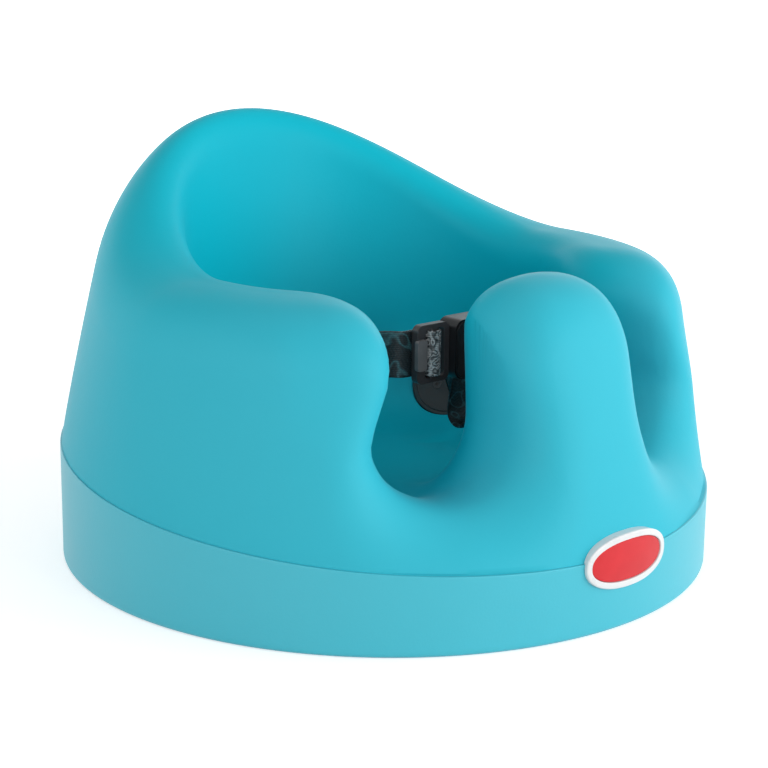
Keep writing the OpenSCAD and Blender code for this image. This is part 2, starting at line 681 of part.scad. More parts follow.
module strap_pin() {
    color(steel) at_buckle() rod_x(-web_w / 2 - 2.3, web_w / 2 + 2.3, strap_pin_z - buckle_z, strap_pin_r);
}
stem_r = 4.3;
leaf_y = tongue_t / 2 + 0.6;
leaf_t = 0.8;
flange_back = 1.1;
module release_button() {
    flange_y = buckle_wall - half_t + 0.1;
    color([0.25, 0.25, 0.27]) at_buckle() difference() {
        union() {
            rod_y(0, mech_z, button_r - 0.5, -half_t - 1.2, flange_y);
            rod_y(0, mech_z, button_r, -half_t - 0.7, flange_y);
            rod_y(0, mech_z, button_r + 1.2, flange_y, flange_y + flange_back);
            rod_y(0, mech_z, stem_r, flange_y, leaf_y - 0.1);
        }
        rod_y(0, mech_z, stem_r - 0.9, 1.2 - half_t, leaf_y + 1);
        translate([0, -half_t - 15.1, mech_z]) sphere(r = 15, $fn = 64);
    }
}
// spring leaf behind the tongues: a bar with two hooks, on two legs that lean back to the rear shell
leg_x = 3;
leg_z = 11;
module latch_leaf() {
    back_y = half_t - buckle_wall + 0.3;
    color(steel) at_buckle() {
        block(-tooth_x1 - 0.8, tooth_x1 + 0.8, leaf_y, leaf_y + leaf_t, mech_z - 5.5, mech_z + 5.5);
        for (s = [-1, 1]) {
            x = s * (tooth_x0 + tooth_x1) / 2;
            w = (tooth_x1 - tooth_x0) / 2;
            block(x - w, x + w, tooth_tip_y, leaf_y + 0.1, mech_z - 4.5, mech_z + 4.5);
        }
        for (q = [0, 1]) translate([-leg_x, 0, mech_z]) mirror([0, 0, q]) rotate([90, 0, 90])
            linear_extrude(height = 2 * leg_x) polygon([[leaf_y, 5], [leaf_y + leaf_t, 5],
                [back_y, leg_z - 1.4], [back_y, leg_z], [back_y - leaf_t, leg_z]]);
    }
}

// ---- plugs: the right one, with the left its mirror image ----
module plug() {
    x0 = buckle_w / 2 + 0.4;
    mid = x0 + frame_len / 2;
    at_buckle() difference() {
        union() {
            translate([mid, 0, 0]) plate(frame_len, frame_h, 4, -frame_t / 2, frame_t / 2 - 0.5);
            translate([x0 + frame_len - 2.5, 0, 0]) plate(7, 17, 2, -frame_t / 2 - 1.6, 1 - frame_t / 2);
            block(tongue_end, x0 + 2, -tongue_t / 2, tongue_t / 2,
                mech_z - tongue_h / 2, mech_z + tongue_h / 2);
        }
        difference() {
            translate([bar_x, 0, 0]) plate(14, web_w + 1.6, 2, -frame_t, frame_t);
            translate([bar_x, 0, 0]) cylinder(r = bar_r, h = frame_h, center = true);
        }
        block(tooth_x0 - 0.5, tooth_x1 + 0.5, -frame_t, frame_t, mech_z - 5, mech_z + 5);
    }
}
module plug_left() { color(hard_black) mirror([1, 0, 0]) plug(); }
module plug_right() { color(hard_black) plug(); }

foam_body();
base_band();
badge_rim();
badge_face();
anchor_cup_left();
anchor_cup_right();
anchor_cup_crotch();
anchor_pin_left();
anchor_pin_right();
anchor_pin_crotch();
anchor_cover_left();
anchor_cover_right();
anchor_cover_crotch();
anchor_screws();
lap_strap_left();
lap_strap_right();
crotch_strap();
buckle_front();
buckle_rear();
buckle_screws();
strap_pin();
release_button();
latch_leaf();
plug_left();
plug_right();
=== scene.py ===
import bpy
import bmesh
import math
import numpy as np
from mathutils import Matrix


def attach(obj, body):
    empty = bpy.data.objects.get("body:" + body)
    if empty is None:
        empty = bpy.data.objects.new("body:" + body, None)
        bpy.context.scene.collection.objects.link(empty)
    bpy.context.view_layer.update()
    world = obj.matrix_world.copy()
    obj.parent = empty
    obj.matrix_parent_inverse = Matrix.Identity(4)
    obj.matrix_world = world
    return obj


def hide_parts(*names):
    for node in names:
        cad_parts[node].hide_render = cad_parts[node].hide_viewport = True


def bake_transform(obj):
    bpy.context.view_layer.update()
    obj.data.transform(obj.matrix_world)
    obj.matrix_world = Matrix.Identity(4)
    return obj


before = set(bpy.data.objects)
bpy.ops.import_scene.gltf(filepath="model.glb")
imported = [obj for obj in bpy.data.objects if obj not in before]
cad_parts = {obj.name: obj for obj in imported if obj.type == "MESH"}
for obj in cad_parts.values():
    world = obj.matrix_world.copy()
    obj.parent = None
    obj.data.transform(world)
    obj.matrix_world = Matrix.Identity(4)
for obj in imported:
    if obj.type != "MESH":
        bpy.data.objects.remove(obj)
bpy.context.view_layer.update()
mm = 0.001

camera = {  # mm, degrees and the picture's pixels; the farthest it sees is in metres
    "distance": 1100, "azimuth": -42.5, "elevation": 13.71, "roll": 0.639, "target": (0, 0, 100),
    "focalPixels": 1918.4, "picture": 768, "centreX": 385.45, "centreY": 372.9, "sensor": 36, "farthest": 50,
}


def placement(right, up, back, place):  # three directions and a place in metres, as a matrix
    matrix = np.eye(4)
    matrix[:3, :4] = np.stack([right, up, back, place], 1)
    return Matrix(matrix.tolist())


def addCamera():
    c = camera
    turn, lift, roll = (math.radians(c[k]) for k in ("azimuth", "elevation", "roll"))
    back = np.array([math.sin(turn) * math.cos(lift), -math.cos(turn) * math.cos(lift), math.sin(lift)])
    flat = np.array([math.cos(turn), math.sin(turn), 0])
    up = np.cross(back, flat)
    right = flat * math.cos(roll) + up * math.sin(roll)
    top = up * math.cos(roll) - flat * math.sin(roll)
    place = (np.array(c["target"]) + back * c["distance"]) * mm
    lens = bpy.data.cameras.new("photoCamera")
    lens.sensor_width = c["sensor"]
    lens.lens = c["focalPixels"] * c["sensor"] / c["picture"]
    lens.shift_x = (c["picture"] / 2 - c["centreX"]) / c["picture"]
    lens.shift_y = (c["centreY"] - c["picture"] / 2) / c["picture"]
    lens.clip_end = c["farthest"]
    obj = bpy.data.objects.new("photoCamera", lens)
    bpy.context.scene.collection.objects.link(obj)
    obj.matrix_world = placement(right, top, back, place)
    bpy.context.scene.camera = obj


addCamera()
print("camera placed")


def unit(t):  # kept between 0 and 1
    return np.clip(t, 0, 1)


def ease(t):  # slow start, slow end
    t = unit(t)
    return t * t * (3 - 2 * t)


def easeLong(t):  # the same with softer ends
    t = unit(t)
    return t ** 3 * (t * (6 * t - 15) + 10)


def bump(t):  # 1 at zero, falling to 0 at plus or minus 1
    return unit(1 - t * t) ** 2


def roundMax(a, b, reach):  # the larger value, its corner rounded over the reach
    h = np.maximum(reach - abs(a - b), 0) / reach
    return np.maximum(a, b) + h * h * reach / 4


def roundMin(a, b, reach):  # the smaller value, rounded in the same way
    return -roundMax(-a, -b, reach)


def unitRows(v):  # each row made 1 long
    return v / np.linalg.norm(v, axis=-1, keepdims=True)


# points[m][n] in mm become a smooth skin: rows go up and columns go round
# low and high close its ends with a fan to a point, and uv, in metres, becomes the cloth map
def gridPiece(name, points, material, low=None, high=None, uv=None, sharp=35):
    m, n = points.shape[:2]
    flat = points.reshape(-1, 3)
    i, j = np.meshgrid(np.arange(m - 1), np.arange(n), indexing="ij")
    a, b = i * n + j, i * n + (j + 1) % n
    faces = np.stack([a, b, b + n, a + n], -1).reshape(-1, 4).tolist()
    extra = []
    k = np.arange(n)
    for point, row, order in ((low, 0, 1), (high, m - 1, -1)):
        if point is not None:
            c = len(flat) + len(extra)
            extra.append(point)
            ring = np.stack([np.full(n, c), row * n + (k + 1) % n, row * n + k][::order], -1)
            faces += ring.tolist()
    if extra:
        flat = np.concatenate([flat, np.array(extra, float)])
    mesh = bpy.data.meshes.new(name)
    mesh.from_pydata((flat * mm).tolist(), [], faces)
    mesh.polygons.foreach_set("use_smooth", np.ones(len(mesh.polygons), bool))
    if uv is not None:
        values = np.concatenate([uv.reshape(-1, 2), np.zeros((len(extra), 2))])
        index = np.empty(len(mesh.loops), np.int32)
        mesh.loops.foreach_get("vertex_index", index)
        layer = mesh.uv_layers.new(name="cloth")
        layer.data.foreach_set("uv", values[index].ravel().astype(np.float32))
    mesh.set_sharp_from_angle(angle=math.radians(sharp))
    mesh.materials.append(material)
    mesh.validate()
    obj = bpy.data.objects.new(name, mesh)
    bpy.context.scene.collection.objects.link(obj)
    return obj


def finishPiece(obj, body, slotName, *nodes):
    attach(obj, body)
    if nodes:
        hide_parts(*nodes)


def newGroup(name, inputs, outputs):
    tree = bpy.data.node_groups.new(name, "ShaderNodeTree")
    for title, kind, value in inputs:
        socket = tree.interface.new_socket(title, in_out="INPUT", socket_type=kind)
        if value is not None:
            socket.default_value = value
    for title, kind in outputs:
        tree.interface.new_socket(title, in_out="OUTPUT", socket_type=kind)
    return tree, tree.nodes.new("NodeGroupInput"), tree.nodes.new("NodeGroupOutput")


def mathNode(tree, operation, first, second=None, third=None, clamp=False):
    node = tree.nodes.new("ShaderNodeMath")
    node.operation = operation
    node.use_clamp = clamp
    for i, value in enumerate((first, second, third)):
        if value is None:
            continue
        if isinstance(value, (int, float)):
            node.inputs[i].default_value = value
        else:
            tree.links.new(value, node.inputs[i])
    return node.outputs[0]


def noiseNode(tree, vector, scale, detail, rough):
    node = tree.nodes.new("ShaderNodeTexNoise")
    node.inputs["Detail"].default_value = detail
    node.inputs["Roughness"].default_value = rough
    if isinstance(scale, (int, float)):
        node.inputs["Scale"].default_value = scale
    else:
        tree.links.new(scale, node.inputs["Scale"])
    tree.links.new(vector, node.inputs["Vector"])
    return node.outputs["Fac"]


def mixColour(tree, factor, first, second):  # each of the three is a value or another node's output
    node = tree.nodes.new("ShaderNodeMix")
    node.data_type = "RGBA"
    for socket, value in ((node.inputs[0], factor), (node.inputs[6], first), (node.inputs[7], second)):
        if isinstance(value, (int, float, tuple)):
            socket.default_value = value
        else:
            tree.links.new(value, socket)
    return node.outputs[2]


def lengthNode(tree, vector):
    node = tree.nodes.new("ShaderNodeVectorMath")
    node.operation = "LENGTH"
    tree.links.new(vector, node.inputs[0])
    return node.outputs["Value"]


def rampNode(tree, value, start, end, low=0.0, high=1.0, kind="SMOOTHSTEP"):  # low at start, high at end
    node = tree.nodes.new("ShaderNodeMapRange")
    node.interpolation_type = kind
    for title, limit in (("From Min", start), ("From Max", end), ("To Min", low), ("To Max", high)):
        node.inputs[title].default_value = limit
    tree.links.new(value, node.inputs["Value"])
    return node.outputs["Result"]


vec, num, rgb = "NodeSocketVector", "NodeSocketFloat", "NodeSocketColor"
skinMakeup = {
    "cloudGain": 2.4, "cloudShift": -0.7, "cloudRough": 0.55, "coarseSize": 0.22, "coarseShare": 0.8,
}
weaveMakeup = {
    "pickRise": 0.6, "pickFloor": 0.4, "fibreScale": (900, 9000, 1), "fibreShare": 0.18, "fibreRough": 0.6,
    "selvedgeFrom": 0.9, "selvedgeShade": -0.35, "threadLevels": 5.0, "threadRough": 0.4,
    "rough": 0.46, "roughFall": -0.16,
}


# moulded skin: cloudy colour, cloudy roughness and a fine pebbled height
def buildSkinGroup():
    tree, enter, leave = newGroup("mouldedSkin",
        [("Place", vec, None), ("Colour", rgb, (0.5, 0.5, 0.5, 1)), ("Pale", rgb, (0.6, 0.6, 0.6, 1)),
         ("Cloud size", num, 12.0), ("Cloud", num, 0.3), ("Grain size", num, 900.0),
         ("Roughness", num, 0.5), ("Rough spread", num, 0.1)],
        [("Colour", rgb), ("Roughness", num), ("Height", num)])
    given, makeup = enter.outputs, skinMakeup
    cloud = noiseNode(tree, given["Place"], given["Cloud size"], 4, makeup["cloudRough"])
    wide = mathNode(tree, "MULTIPLY_ADD", cloud, makeup["cloudGain"], makeup["cloudShift"], clamp=True)
    share = mathNode(tree, "MULTIPLY", wide, given["Cloud"])
    colour = mixColour(tree, share, given["Colour"], given["Pale"])
    grain = noiseNode(tree, given["Place"], given["Grain size"], 2, 0.5)
    coarseSize = mathNode(tree, "MULTIPLY", given["Grain size"], makeup["coarseSize"])
    coarse = noiseNode(tree, given["Place"], coarseSize, 1, 0.5)
    height = mathNode(tree, "MULTIPLY_ADD", coarse, makeup["coarseShare"], grain)
    offset = mathNode(tree, "SUBTRACT", wide, 0.5)
    rough = mathNode(tree, "MULTIPLY_ADD", offset, given["Rough spread"], given["Roughness"], clamp=True)
    for title, value in (("Colour", colour), ("Roughness", rough), ("Height", height)):
        tree.links.new(value, leave.inputs[title])
    return tree


# woven webbing on its own length and width in metres: ribs along it, picks across it that shift from
# rib to rib, and lighter threads that wander over it
def buildWeaveGroup():
    tree, enter, leave = newGroup("wovenWebbing",
        [("Place", vec, None), ("Pitch", num, 0.0016), ("Half width", num, 0.0125),
         ("Dark", rgb, (0.01, 0.01, 0.01, 1)), ("Light", rgb, (0.05, 0.05, 0.05, 1)),
         ("Thread", rgb, (0.1, 0.1, 0.1, 1)), ("Thread size", num, 90.0), ("Thread width", num, 0.1)],
        [("Colour", rgb), ("Roughness", num), ("Height", num)])
    given, makeup = enter.outputs, weaveMakeup
    split = tree.nodes.new("ShaderNodeSeparateXYZ")
    tree.links.new(given["Place"], split.inputs[0])
    along = mathNode(tree, "DIVIDE", split.outputs[0], given["Pitch"])
    across = mathNode(tree, "DIVIDE", split.outputs[1], given["Pitch"])
    row = mathNode(tree, "FLOOR", across)
    shift = mathNode(tree, "MULTIPLY_ADD", mathNode(tree, "PINGPONG", row, 3.0), 0.5, along)
    pick = mathNode(tree, "PINGPONG", shift, 1.0)
    rib = mathNode(tree, "PINGPONG", across, 0.5)
    pickRound = mathNode(tree, "SINE", mathNode(tree, "MULTIPLY", pick, math.pi / 2))
    ribRound = mathNode(tree, "SINE", mathNode(tree, "MULTIPLY", rib, math.pi))
    raised = mathNode(tree, "MULTIPLY_ADD", pickRound, makeup["pickRise"], makeup["pickFloor"])
    height = mathNode(tree, "MULTIPLY", raised, ribRound)
    fibre = tree.nodes.new("ShaderNodeMapping")
    fibre.inputs["Scale"].default_value = makeup["fibreScale"]
    tree.links.new(given["Place"], fibre.inputs["Vector"])
    fibres = noiseNode(tree, fibre.outputs["Vector"], 1.0, 2, makeup["fibreRough"])
    height = mathNode(tree, "MULTIPLY_ADD", fibres, makeup["fibreShare"], height)
    edge = mathNode(tree, "DIVIDE", mathNode(tree, "ABSOLUTE", split.outputs[1]), given["Half width"])
    selvedge = mathNode(tree, "GREATER_THAN", edge, makeup["selvedgeFrom"])
    shade = mathNode(tree, "MULTIPLY_ADD", selvedge, makeup["selvedgeShade"], 1.0)
    tone = mathNode(tree, "MULTIPLY", height, shade, clamp=True)
    cloth = mixColour(tree, tone, given["Dark"], given["Light"])
    drift = noiseNode(tree, given["Place"], given["Thread size"], 1, makeup["threadRough"])
    level = mathNode(tree, "PINGPONG", mathNode(tree, "MULTIPLY", drift, makeup["threadLevels"]), 0.5)
    line = mathNode(tree, "SUBTRACT", 1.0, mathNode(tree, "DIVIDE", level, given["Thread width"]), clamp=True)
    lit = mathNode(tree, "MULTIPLY_ADD", height, makeup["pickRise"], makeup["pickFloor"])
    colour = mixColour(tree, mathNode(tree, "MULTIPLY", line, lit, clamp=True), cloth, given["Thread"])
    rough = mathNode(tree, "MULTIPLY_ADD", tone, makeup["roughFall"], makeup["rough"])
    for title, value in (("Colour", colour), ("Roughness", rough), ("Height", height)):
        tree.links.new(value, leave.inputs[title])
    return tree


skinGroup = buildSkinGroup()
weaveGroup = buildWeaveGroup()


def newMaterial(name):
    material = bpy.data.materials.new(name)
    material.use_nodes = True
    tree = material.node_tree
    return material, tree, tree.nodes["Principled BSDF"]


def placeGroup(tree, group, vector, values):
    node = tree.nodes.new("ShaderNodeGroup")
    node.node_tree = group
    tree.links.new(vector, node.inputs["Place"])
    for title, value in values.items():
        node.inputs[title].default_value = value
    return node


# the group's colour and roughness go to the shader, and its height through a bump
def joinGroup(tree, node, shader, strength, distance):
    tree.links.new(node.outputs["Colour"], shader.inputs["Base Color"])
    tree.links.new(node.outputs["Roughness"], shader.inputs["Roughness"])
    relief = tree.nodes.new("ShaderNodeBump")
    relief.inputs["Strength"].default_value = strength
    relief.inputs["Distance"].default_value = distance
    tree.links.new(node.outputs["Height"], relief.inputs["Height"])
    tree.links.new(relief.outputs["Normal"], shader.inputs["Normal"])


# a mask of painted light: 0 in the bowl, deeper there as painted shade, and 1 on the walls outside, paler
# there as a painted sheen, by the level distance from a point a little behind the middle
def paintedSheenMask(tree, place):
    across = tree.nodes.new("ShaderNodeVectorMath")
    across.operation = "MULTIPLY_ADD"
    across.inputs[1].default_value = paintedSheenReach["stretch"]
    across.inputs[2].default_value = paintedSheenReach["shift"]
    tree.links.new(place, across.inputs[0])
    return rampNode(tree, lengthNode(tree, across.outputs[0]), paintedSheenReach["start"], paintedSheenReach["end"])


# a moulded material; inner holds the colours that it turns to inside the bowl, its painted shade against the
# walls' painted sheen
def skinMaterial(name, values, strength, distance, inner=None, **constants):
    material, tree, shader = newMaterial(name)
    place = tree.nodes.new("ShaderNodeTexCoord").outputs["Object"]
    node = placeGroup(tree, skinGroup, place, values)
    if inner:
        mask = paintedSheenMask(tree, place)
        for title, colour in inner.items():
            tree.links.new(mixColour(tree, mask, colour, values[title]), node.inputs[title])
    joinGroup(tree, node, shader, strength, distance)
    for title, value in constants.items():
        shader.inputs[title].default_value = value
    return material


# the walls' colours, with some red as a painted sheen of reflected light; the bowl's colours follow
foamLook = {
    "Colour": (0.03, 0.43, 0.55, 1), "Pale": (0.047, 0.47, 0.58, 1), "Cloud size": 9.0, "Cloud": 0.35,
    "Grain size": 700.0, "Roughness": 0.5, "Rough spread": 0.08,
}
# painted shade: the bowl's colours, deeper and with no red, stand in for shade and light bounced between its
# walls
bowlPaintedShade = {"Colour": (0.0, 0.415, 0.53, 1), "Pale": (0.0, 0.455, 0.56, 1)}
bandLook = dict(foamLook, **{"Colour": (0.032, 0.43, 0.54, 1), "Pale": (0.05, 0.47, 0.57, 1),
    "Cloud size": 7.0, "Roughness": 0.42})
# where the painted sheen on the outer walls begins and ends
paintedSheenReach = {"stretch": (0.82, 1, 0), "shift": (0, -0.018, 0), "start": 0.118, "end": 0.152}  # metres
foamSkin = skinMaterial("turquoiseFoamSkin", foamLook, 0.12, 0.0004, inner=bowlPaintedShade,
    **{"Specular IOR Level": 0.16, "Sheen Weight": 0.07, "Sheen Roughness": 0.25})
bandSkin = skinMaterial("turquoiseBandSkin", bandLook, 0.12, 0.0004,
    **{"Specular IOR Level": 0.65, "Sheen Weight": 0.11, "Sheen Roughness": 0.4})
blackPlastic = skinMaterial("mouldedBlackPlastic",
    {"Colour": (0.018, 0.02, 0.022, 1), "Pale": (0.035, 0.038, 0.042, 1), "Cloud size": 60.0, "Cloud": 0.4,
     "Grain size": 2600.0, "Roughness": 0.42, "Rough spread": 0.12}, 0.25, 0.00015)
housingPlastic = skinMaterial("buckleBlackPlastic",
    {"Colour": (0.009, 0.01, 0.012, 1), "Pale": (0.022, 0.023, 0.026, 1), "Cloud size": 80.0, "Cloud": 0.4,
     "Grain size": 3000.0, "Roughness": 0.34, "Rough spread": 0.12}, 0.2, 0.00012,
    **{"Specular IOR Level": 0.4})
plugPlastic = skinMaterial("plugGreyPlastic",
    {"Colour": (0.04, 0.036, 0.038, 1), "Pale": (0.068, 0.06, 0.062, 1), "Cloud size": 80.0, "Cloud": 0.4,
     "Grain size": 3000.0, "Roughness": 0.36, "Rough spread": 0.12}, 0.2, 0.00012)
tabPlastic = skinMaterial("plugTabPlastic",
    {"Colour": (0.13, 0.123, 0.125, 1), "Pale": (0.19, 0.18, 0.182, 1), "Cloud size": 120.0, "Cloud": 0.5,
     "Grain size": 3000.0, "Roughness": 0.32, "Rough spread": 0.1}, 0.2, 0.0001)
buttonPlastic = skinMaterial("buttonPlastic",
    {"Colour": (0.08, 0.082, 0.086, 1), "Pale": (0.12, 0.122, 0.126, 1), "Cloud size": 120.0, "Cloud": 0.4,
     "Grain size": 3200.0, "Roughness": 0.38, "Rough spread": 0.1}, 0.2, 0.0001)
badgeWhite = skinMaterial("badgeWhiteGloss",
    {"Colour": (0.66, 0.68, 0.69, 1), "Pale": (0.74, 0.75, 0.75, 1), "Cloud size": 90.0, "Cloud": 0.6,
     "Grain size": 1500.0, "Roughness": 0.3, "Rough spread": 0.08}, 0.08, 0.0001,
    **{"Coat Weight": 0.2, "Coat Roughness": 0.14})
badgeRed = skinMaterial("badgeRedGloss",
    {"Colour": (0.56, 0.012, 0.018, 1), "Pale": (0.64, 0.022, 0.03, 1), "Cloud size": 70.0, "Cloud": 0.6,
     "Grain size": 1500.0, "Roughness": 0.34, "Rough spread": 0.08}, 0.08, 0.0001,
    **{"Coat Weight": 0.15, "Coat Roughness": 0.15, "Specular IOR Level": 0.3})
steel = skinMaterial("brushedSteel",
    {"Colour": (0.5, 0.5, 0.51, 1), "Pale": (0.62, 0.62, 0.63, 1), "Cloud size": 300.0, "Cloud": 0.5,
     "Grain size": 4000.0, "Roughness": 0.3, "Rough spread": 0.14}, 0.15, 0.00008, Metallic=1.0)
screwBlack = skinMaterial("blackenedScrew",
    {"Colour": (0.03, 0.03, 0.032, 1), "Pale": (0.06, 0.06, 0.062, 1), "Cloud size": 400.0, "Cloud": 0.5,
     "Grain size": 4000.0, "Roughness": 0.35, "Rough spread": 0.12}, 0.15, 0.00008)

webLook = {
    "Pitch": 0.001, "Half width": 0.0125, "Dark": (0.002, 0.006, 0.008, 1), "Light": (0.014, 0.026, 0.031, 1),
    "Thread": (0.05, 0.15, 0.17, 1), "Thread size": 70.0, "Thread width": 0.14,
}
# painted highlight: silvery threads where it goes round the bar stand in for glints of reflected light
paintedGlintLook = {"Light": (0.06, 0.07, 0.075, 1), "Thread": (0.6, 0.62, 0.63, 1)}  # where it goes round the bar
# larger, wider thread blobs that shape the painted highlight
paintedGlintPattern = dict(webLook, **{"Thread size": 240.0, "Thread width": 0.42})
# where the painted highlight fades out
paintedGlintFade = {"start": 0.031, "end": 0.036}  # metres along the wrap
clothRelief = {"strength": 0.8, "distance": 0.0003, "sheenRoughness": 0.35}


# webbing on the piece's own map; paintedGlintColours holds the silvery colours of a painted highlight that it
# has before the wrap's fade
def webbingMaterial(name, values, specular, sheen, paintedGlintColours=None):
    material, tree, shader = newMaterial(name)
    cloth = tree.nodes.new("ShaderNodeUVMap")
    cloth.uv_map = "cloth"
    node = placeGroup(tree, weaveGroup, cloth.outputs["UV"], values)
    if paintedGlintColours:
        split = tree.nodes.new("ShaderNodeSeparateXYZ")
        tree.links.new(cloth.outputs["UV"], split.inputs[0])
        far = rampNode(tree, split.outputs[0], paintedGlintFade["start"], paintedGlintFade["end"], kind="LINEAR")
        for title, colour in paintedGlintColours.items():
            tree.links.new(mixColour(tree, far, colour, values[title]), node.inputs[title])
    joinGroup(tree, node, shader, clothRelief["strength"], clothRelief["distance"])
    shader.inputs["Specular IOR Level"].default_value = specular
    shader.inputs["Sheen Weight"].default_value = sheen
    shader.inputs["Sheen Roughness"].default_value = clothRelief["sheenRoughness"]
    return material


webbing = webbingMaterial("blackWebbing", webLook, 0.3, 0.04)
paintedGlintWebbing = webbingMaterial("paintedGlintWebbing", paintedGlintPattern, 0.6, 0.1, paintedGlintColours=paintedGlintLook)
print("materials ready")

tub = {  # mm and degrees, the same solid as the part's own; three values are for arm, back and post
    "bandR": 185, "step": 1, "seamFront": 39.5, "seamBack": 73.5,
    "armTop": 170, "postTop": 167.5, "postCrown": 8, "crownAngle": 24,
    "backTop": 245.5, "backStart": 90, "risePower": 0.9,
    "armTaper": 15, "backTaper": 42, "postTaper": 35, "taperPower": 1.1, "taperSpread": 0.62,
    "floor": 50, "floorBlend": 60, "bowlR": (106, 105, 100), "rimR": (106, 122, 97),
    "roundOuter": (34, 24, 32), "roundInner": 22, "overTop": 1.2,
    "postHalf": 43, "postFlare": 13, "flareZ": 105, "flareReach": 60, "flareLimit": 2,
    "postWaist": 2.5, "waistReach": 34, "postRound": 10,
    "armGap": 112, "armFront": 110, "armAngle": 26,
    "sillZ": 71, "sillSlope": 0.45, "sillFall": 0.4, "sillR": 146, "sillRound": 16,
    "sillFoot": 8, "sillArm": 48, "sillPost": 32, "lipBlend": 26,
    "armLean": 14, "leanZ": 145, "leanReach": 52, "leanSide": 45, "leanFront": 60,
    "frontFull": 12, "frontFade": 48, "openingStart": 10,
    "bandWall": 12.5, "gap": 0.3, "plugEdge": 4, "ledge": 5,
    "seamRound": 0.15, "seamLift": 0.02, "skinStart": 0.3,
    "halfColumns": 218,
    "columnShares": (0, 0.035, 0.36, 0.44, 0.72, 1), "columnAngles": (0, 10, 27, 38, 64, 180),
    "rows": 190, "rowShares": (0, 0.2, 0.7, 1), "rowGuides": (0.02, 3, 7, 10.99),
    "rootR": 146, "rootZ": 48, "rootReach": 16, "sillTurn": 19, "sillPull": 30, "armTurn": 47, "armPush": 17,
    "steps": 150, "stride": 0.72, "crease": 50,
}
bodyR = tub["bandR"] - tub["step"]
tilt = math.radians(tub["armAngle"])


def seamZ(r, a):  # the seam is a tilted plane, lowest in front
    middle = (tub["seamFront"] + tub["seamBack"]) / 2
    rise = (tub["seamBack"] - tub["seamFront"]) / 2
    return middle - rise * r / bodyR * np.cos(a)


# what a half plane at angle a from the front needs, mixed from the arm's, the back's and the post's values
def tubColumn(a):
    deg = np.degrees(np.abs(a))
    back = np.where(deg > tub["backStart"],
        (1 - np.cos(np.pi * (deg - tub["backStart"]) / (180 - tub["backStart"]))) / 2, 0)
    front = 1 - easeLong((deg - tub["frontFull"]) / tub["frontFade"])

    def mixed(values):
        return values[0] + (values[1] - values[0]) * back + (values[2] - values[0]) * front

    arm, rear, post = tub["rimR"]
    return {
        "top": tub["armTop"] + (tub["backTop"] - tub["armTop"]) * back ** tub["risePower"]
            + (tub["postTop"] - tub["armTop"]) * front + tub["postCrown"] * bump(deg / tub["crownAngle"]),
        "seam": seamZ(bodyR, a),
        "taper": tub["armTaper"] + (tub["backTaper"] - tub["armTaper"]) * back ** tub["taperSpread"]
            + (tub["postTaper"] - tub["armTaper"]) * front,
        "rim": arm + (rear - arm) * back ** tub["taperSpread"] + (post - arm) * front,
        "bowl": mixed(tub["bowlR"]), "round": mixed(tub["roundOuter"]),
    }


def armSide(x, f):  # distance from the arm end's plane, positive in the arm
    return (x - tub["armGap"]) * math.cos(tilt) - (f - tub["armFront"]) * math.sin(tilt)


def softAbs(x):  # the distance from the middle, without a crease at the middle
    return np.sqrt(x * x + tub["postRound"] ** 2)


# the foam as one value, negative inside: outer wall, top and bowl with rounded corners, less the openings
def foamField(c, a, r, z):
    u = np.clip((z - c["seam"]) / (c["top"] - c["seam"]), 0, tub["overTop"])
    outer = r - bodyR + c["taper"] * u ** tub["taperPower"]
    w = np.clip((z - tub["floor"]) / (c["top"] - tub["floor"]), 0, tub["overTop"])
    inner = c["bowl"] + (c["rim"] - c["bowl"]) * w - r
    hollow = roundMin(inner, z - tub["floor"], tub["floorBlend"])
    solid = roundMax(roundMax(outer, z - c["top"], c["round"]), hollow, tub["roundInner"])
    x, f = np.abs(r * np.sin(a)), r * np.cos(a)
    flare = np.clip((tub["flareZ"] - z) / tub["flareReach"], 0, tub["flareLimit"]) ** 2
    edge = (tub["postHalf"] + tub["postFlare"] * flare
        - tub["postWaist"] * bump((z - tub["flareZ"]) / tub["waistReach"]))
    sill = roundMin(tub["sillZ"] - tub["sillSlope"] * (tub["sillR"] - r),
        tub["sillZ"] - tub["sillFall"] * (r - tub["sillR"]), tub["sillRound"])
    sill = roundMax(sill, tub["floor"], tub["sillFoot"])
    gap = roundMin(-armSide(x, f), z - sill, tub["sillArm"])
    gap = np.minimum(f - tub["openingStart"], roundMin(gap, softAbs(x) - softAbs(edge), tub["sillPost"]))
    return roundMax(solid, gap, tub["lipBlend"])


# the first way out of the foam, for all rays at once, in strides that shrink near the skin
def walkOut(c, a, start, way, steps):
    t = np.zeros(way.shape[:-1])
    for _ in range(steps):
        f = foamField(c, a, start[..., 0] + way[..., 0] * t, start[..., 1] + way[..., 1] * t)
        t = t - tub["stride"] * np.minimum(f, 0)
    return start + way * t[..., None]


# guides for the rays: radius and height of what a ray aims at, then of its root; the rows lie between them
def tubGuides(c, a):
    deg, one = np.degrees(np.abs(a)), np.ones_like(a)
    seam, h, low, z = c["seam"], c["top"] - c["seam"], tub["floor"], tub["rootZ"]
    root = (tub["rootR"] - tub["sillPull"] * bump((deg - tub["sillTurn"]) / tub["rootReach"])
        + tub["armPush"] * bump((deg - tub["armTurn"]) / tub["rootReach"]))
    rows = [
        (bodyR, seam, root, seam), (bodyR, seam + h / 4, root, z), (bodyR, seam + h / 2, root, z),  # the wall
        (bodyR - 4, seam + h * 0.8, root, z), (bodyR - 14, c["top"] + 6, root, z),  # the rim's outside
        (c["rim"] + 10, c["top"] + 10, root, z), (c["rim"] - 6, c["top"] - 14, root, z),  # the rim's inside
        (c["bowl"] - 4, low + (c["top"] - low) / 2, root - 4, 44),  # the bowl
        (c["bowl"] - 10, low + (c["top"] - low) / 5, root / 2 + 66, 30),
        (c["bowl"] - 28, low, 100, 10), (c["bowl"] * 0.4, low, 50, 0), (0.5, low, 0.5, 0)]  # its floor
    return np.array([[value * one for value in row] for row in rows])


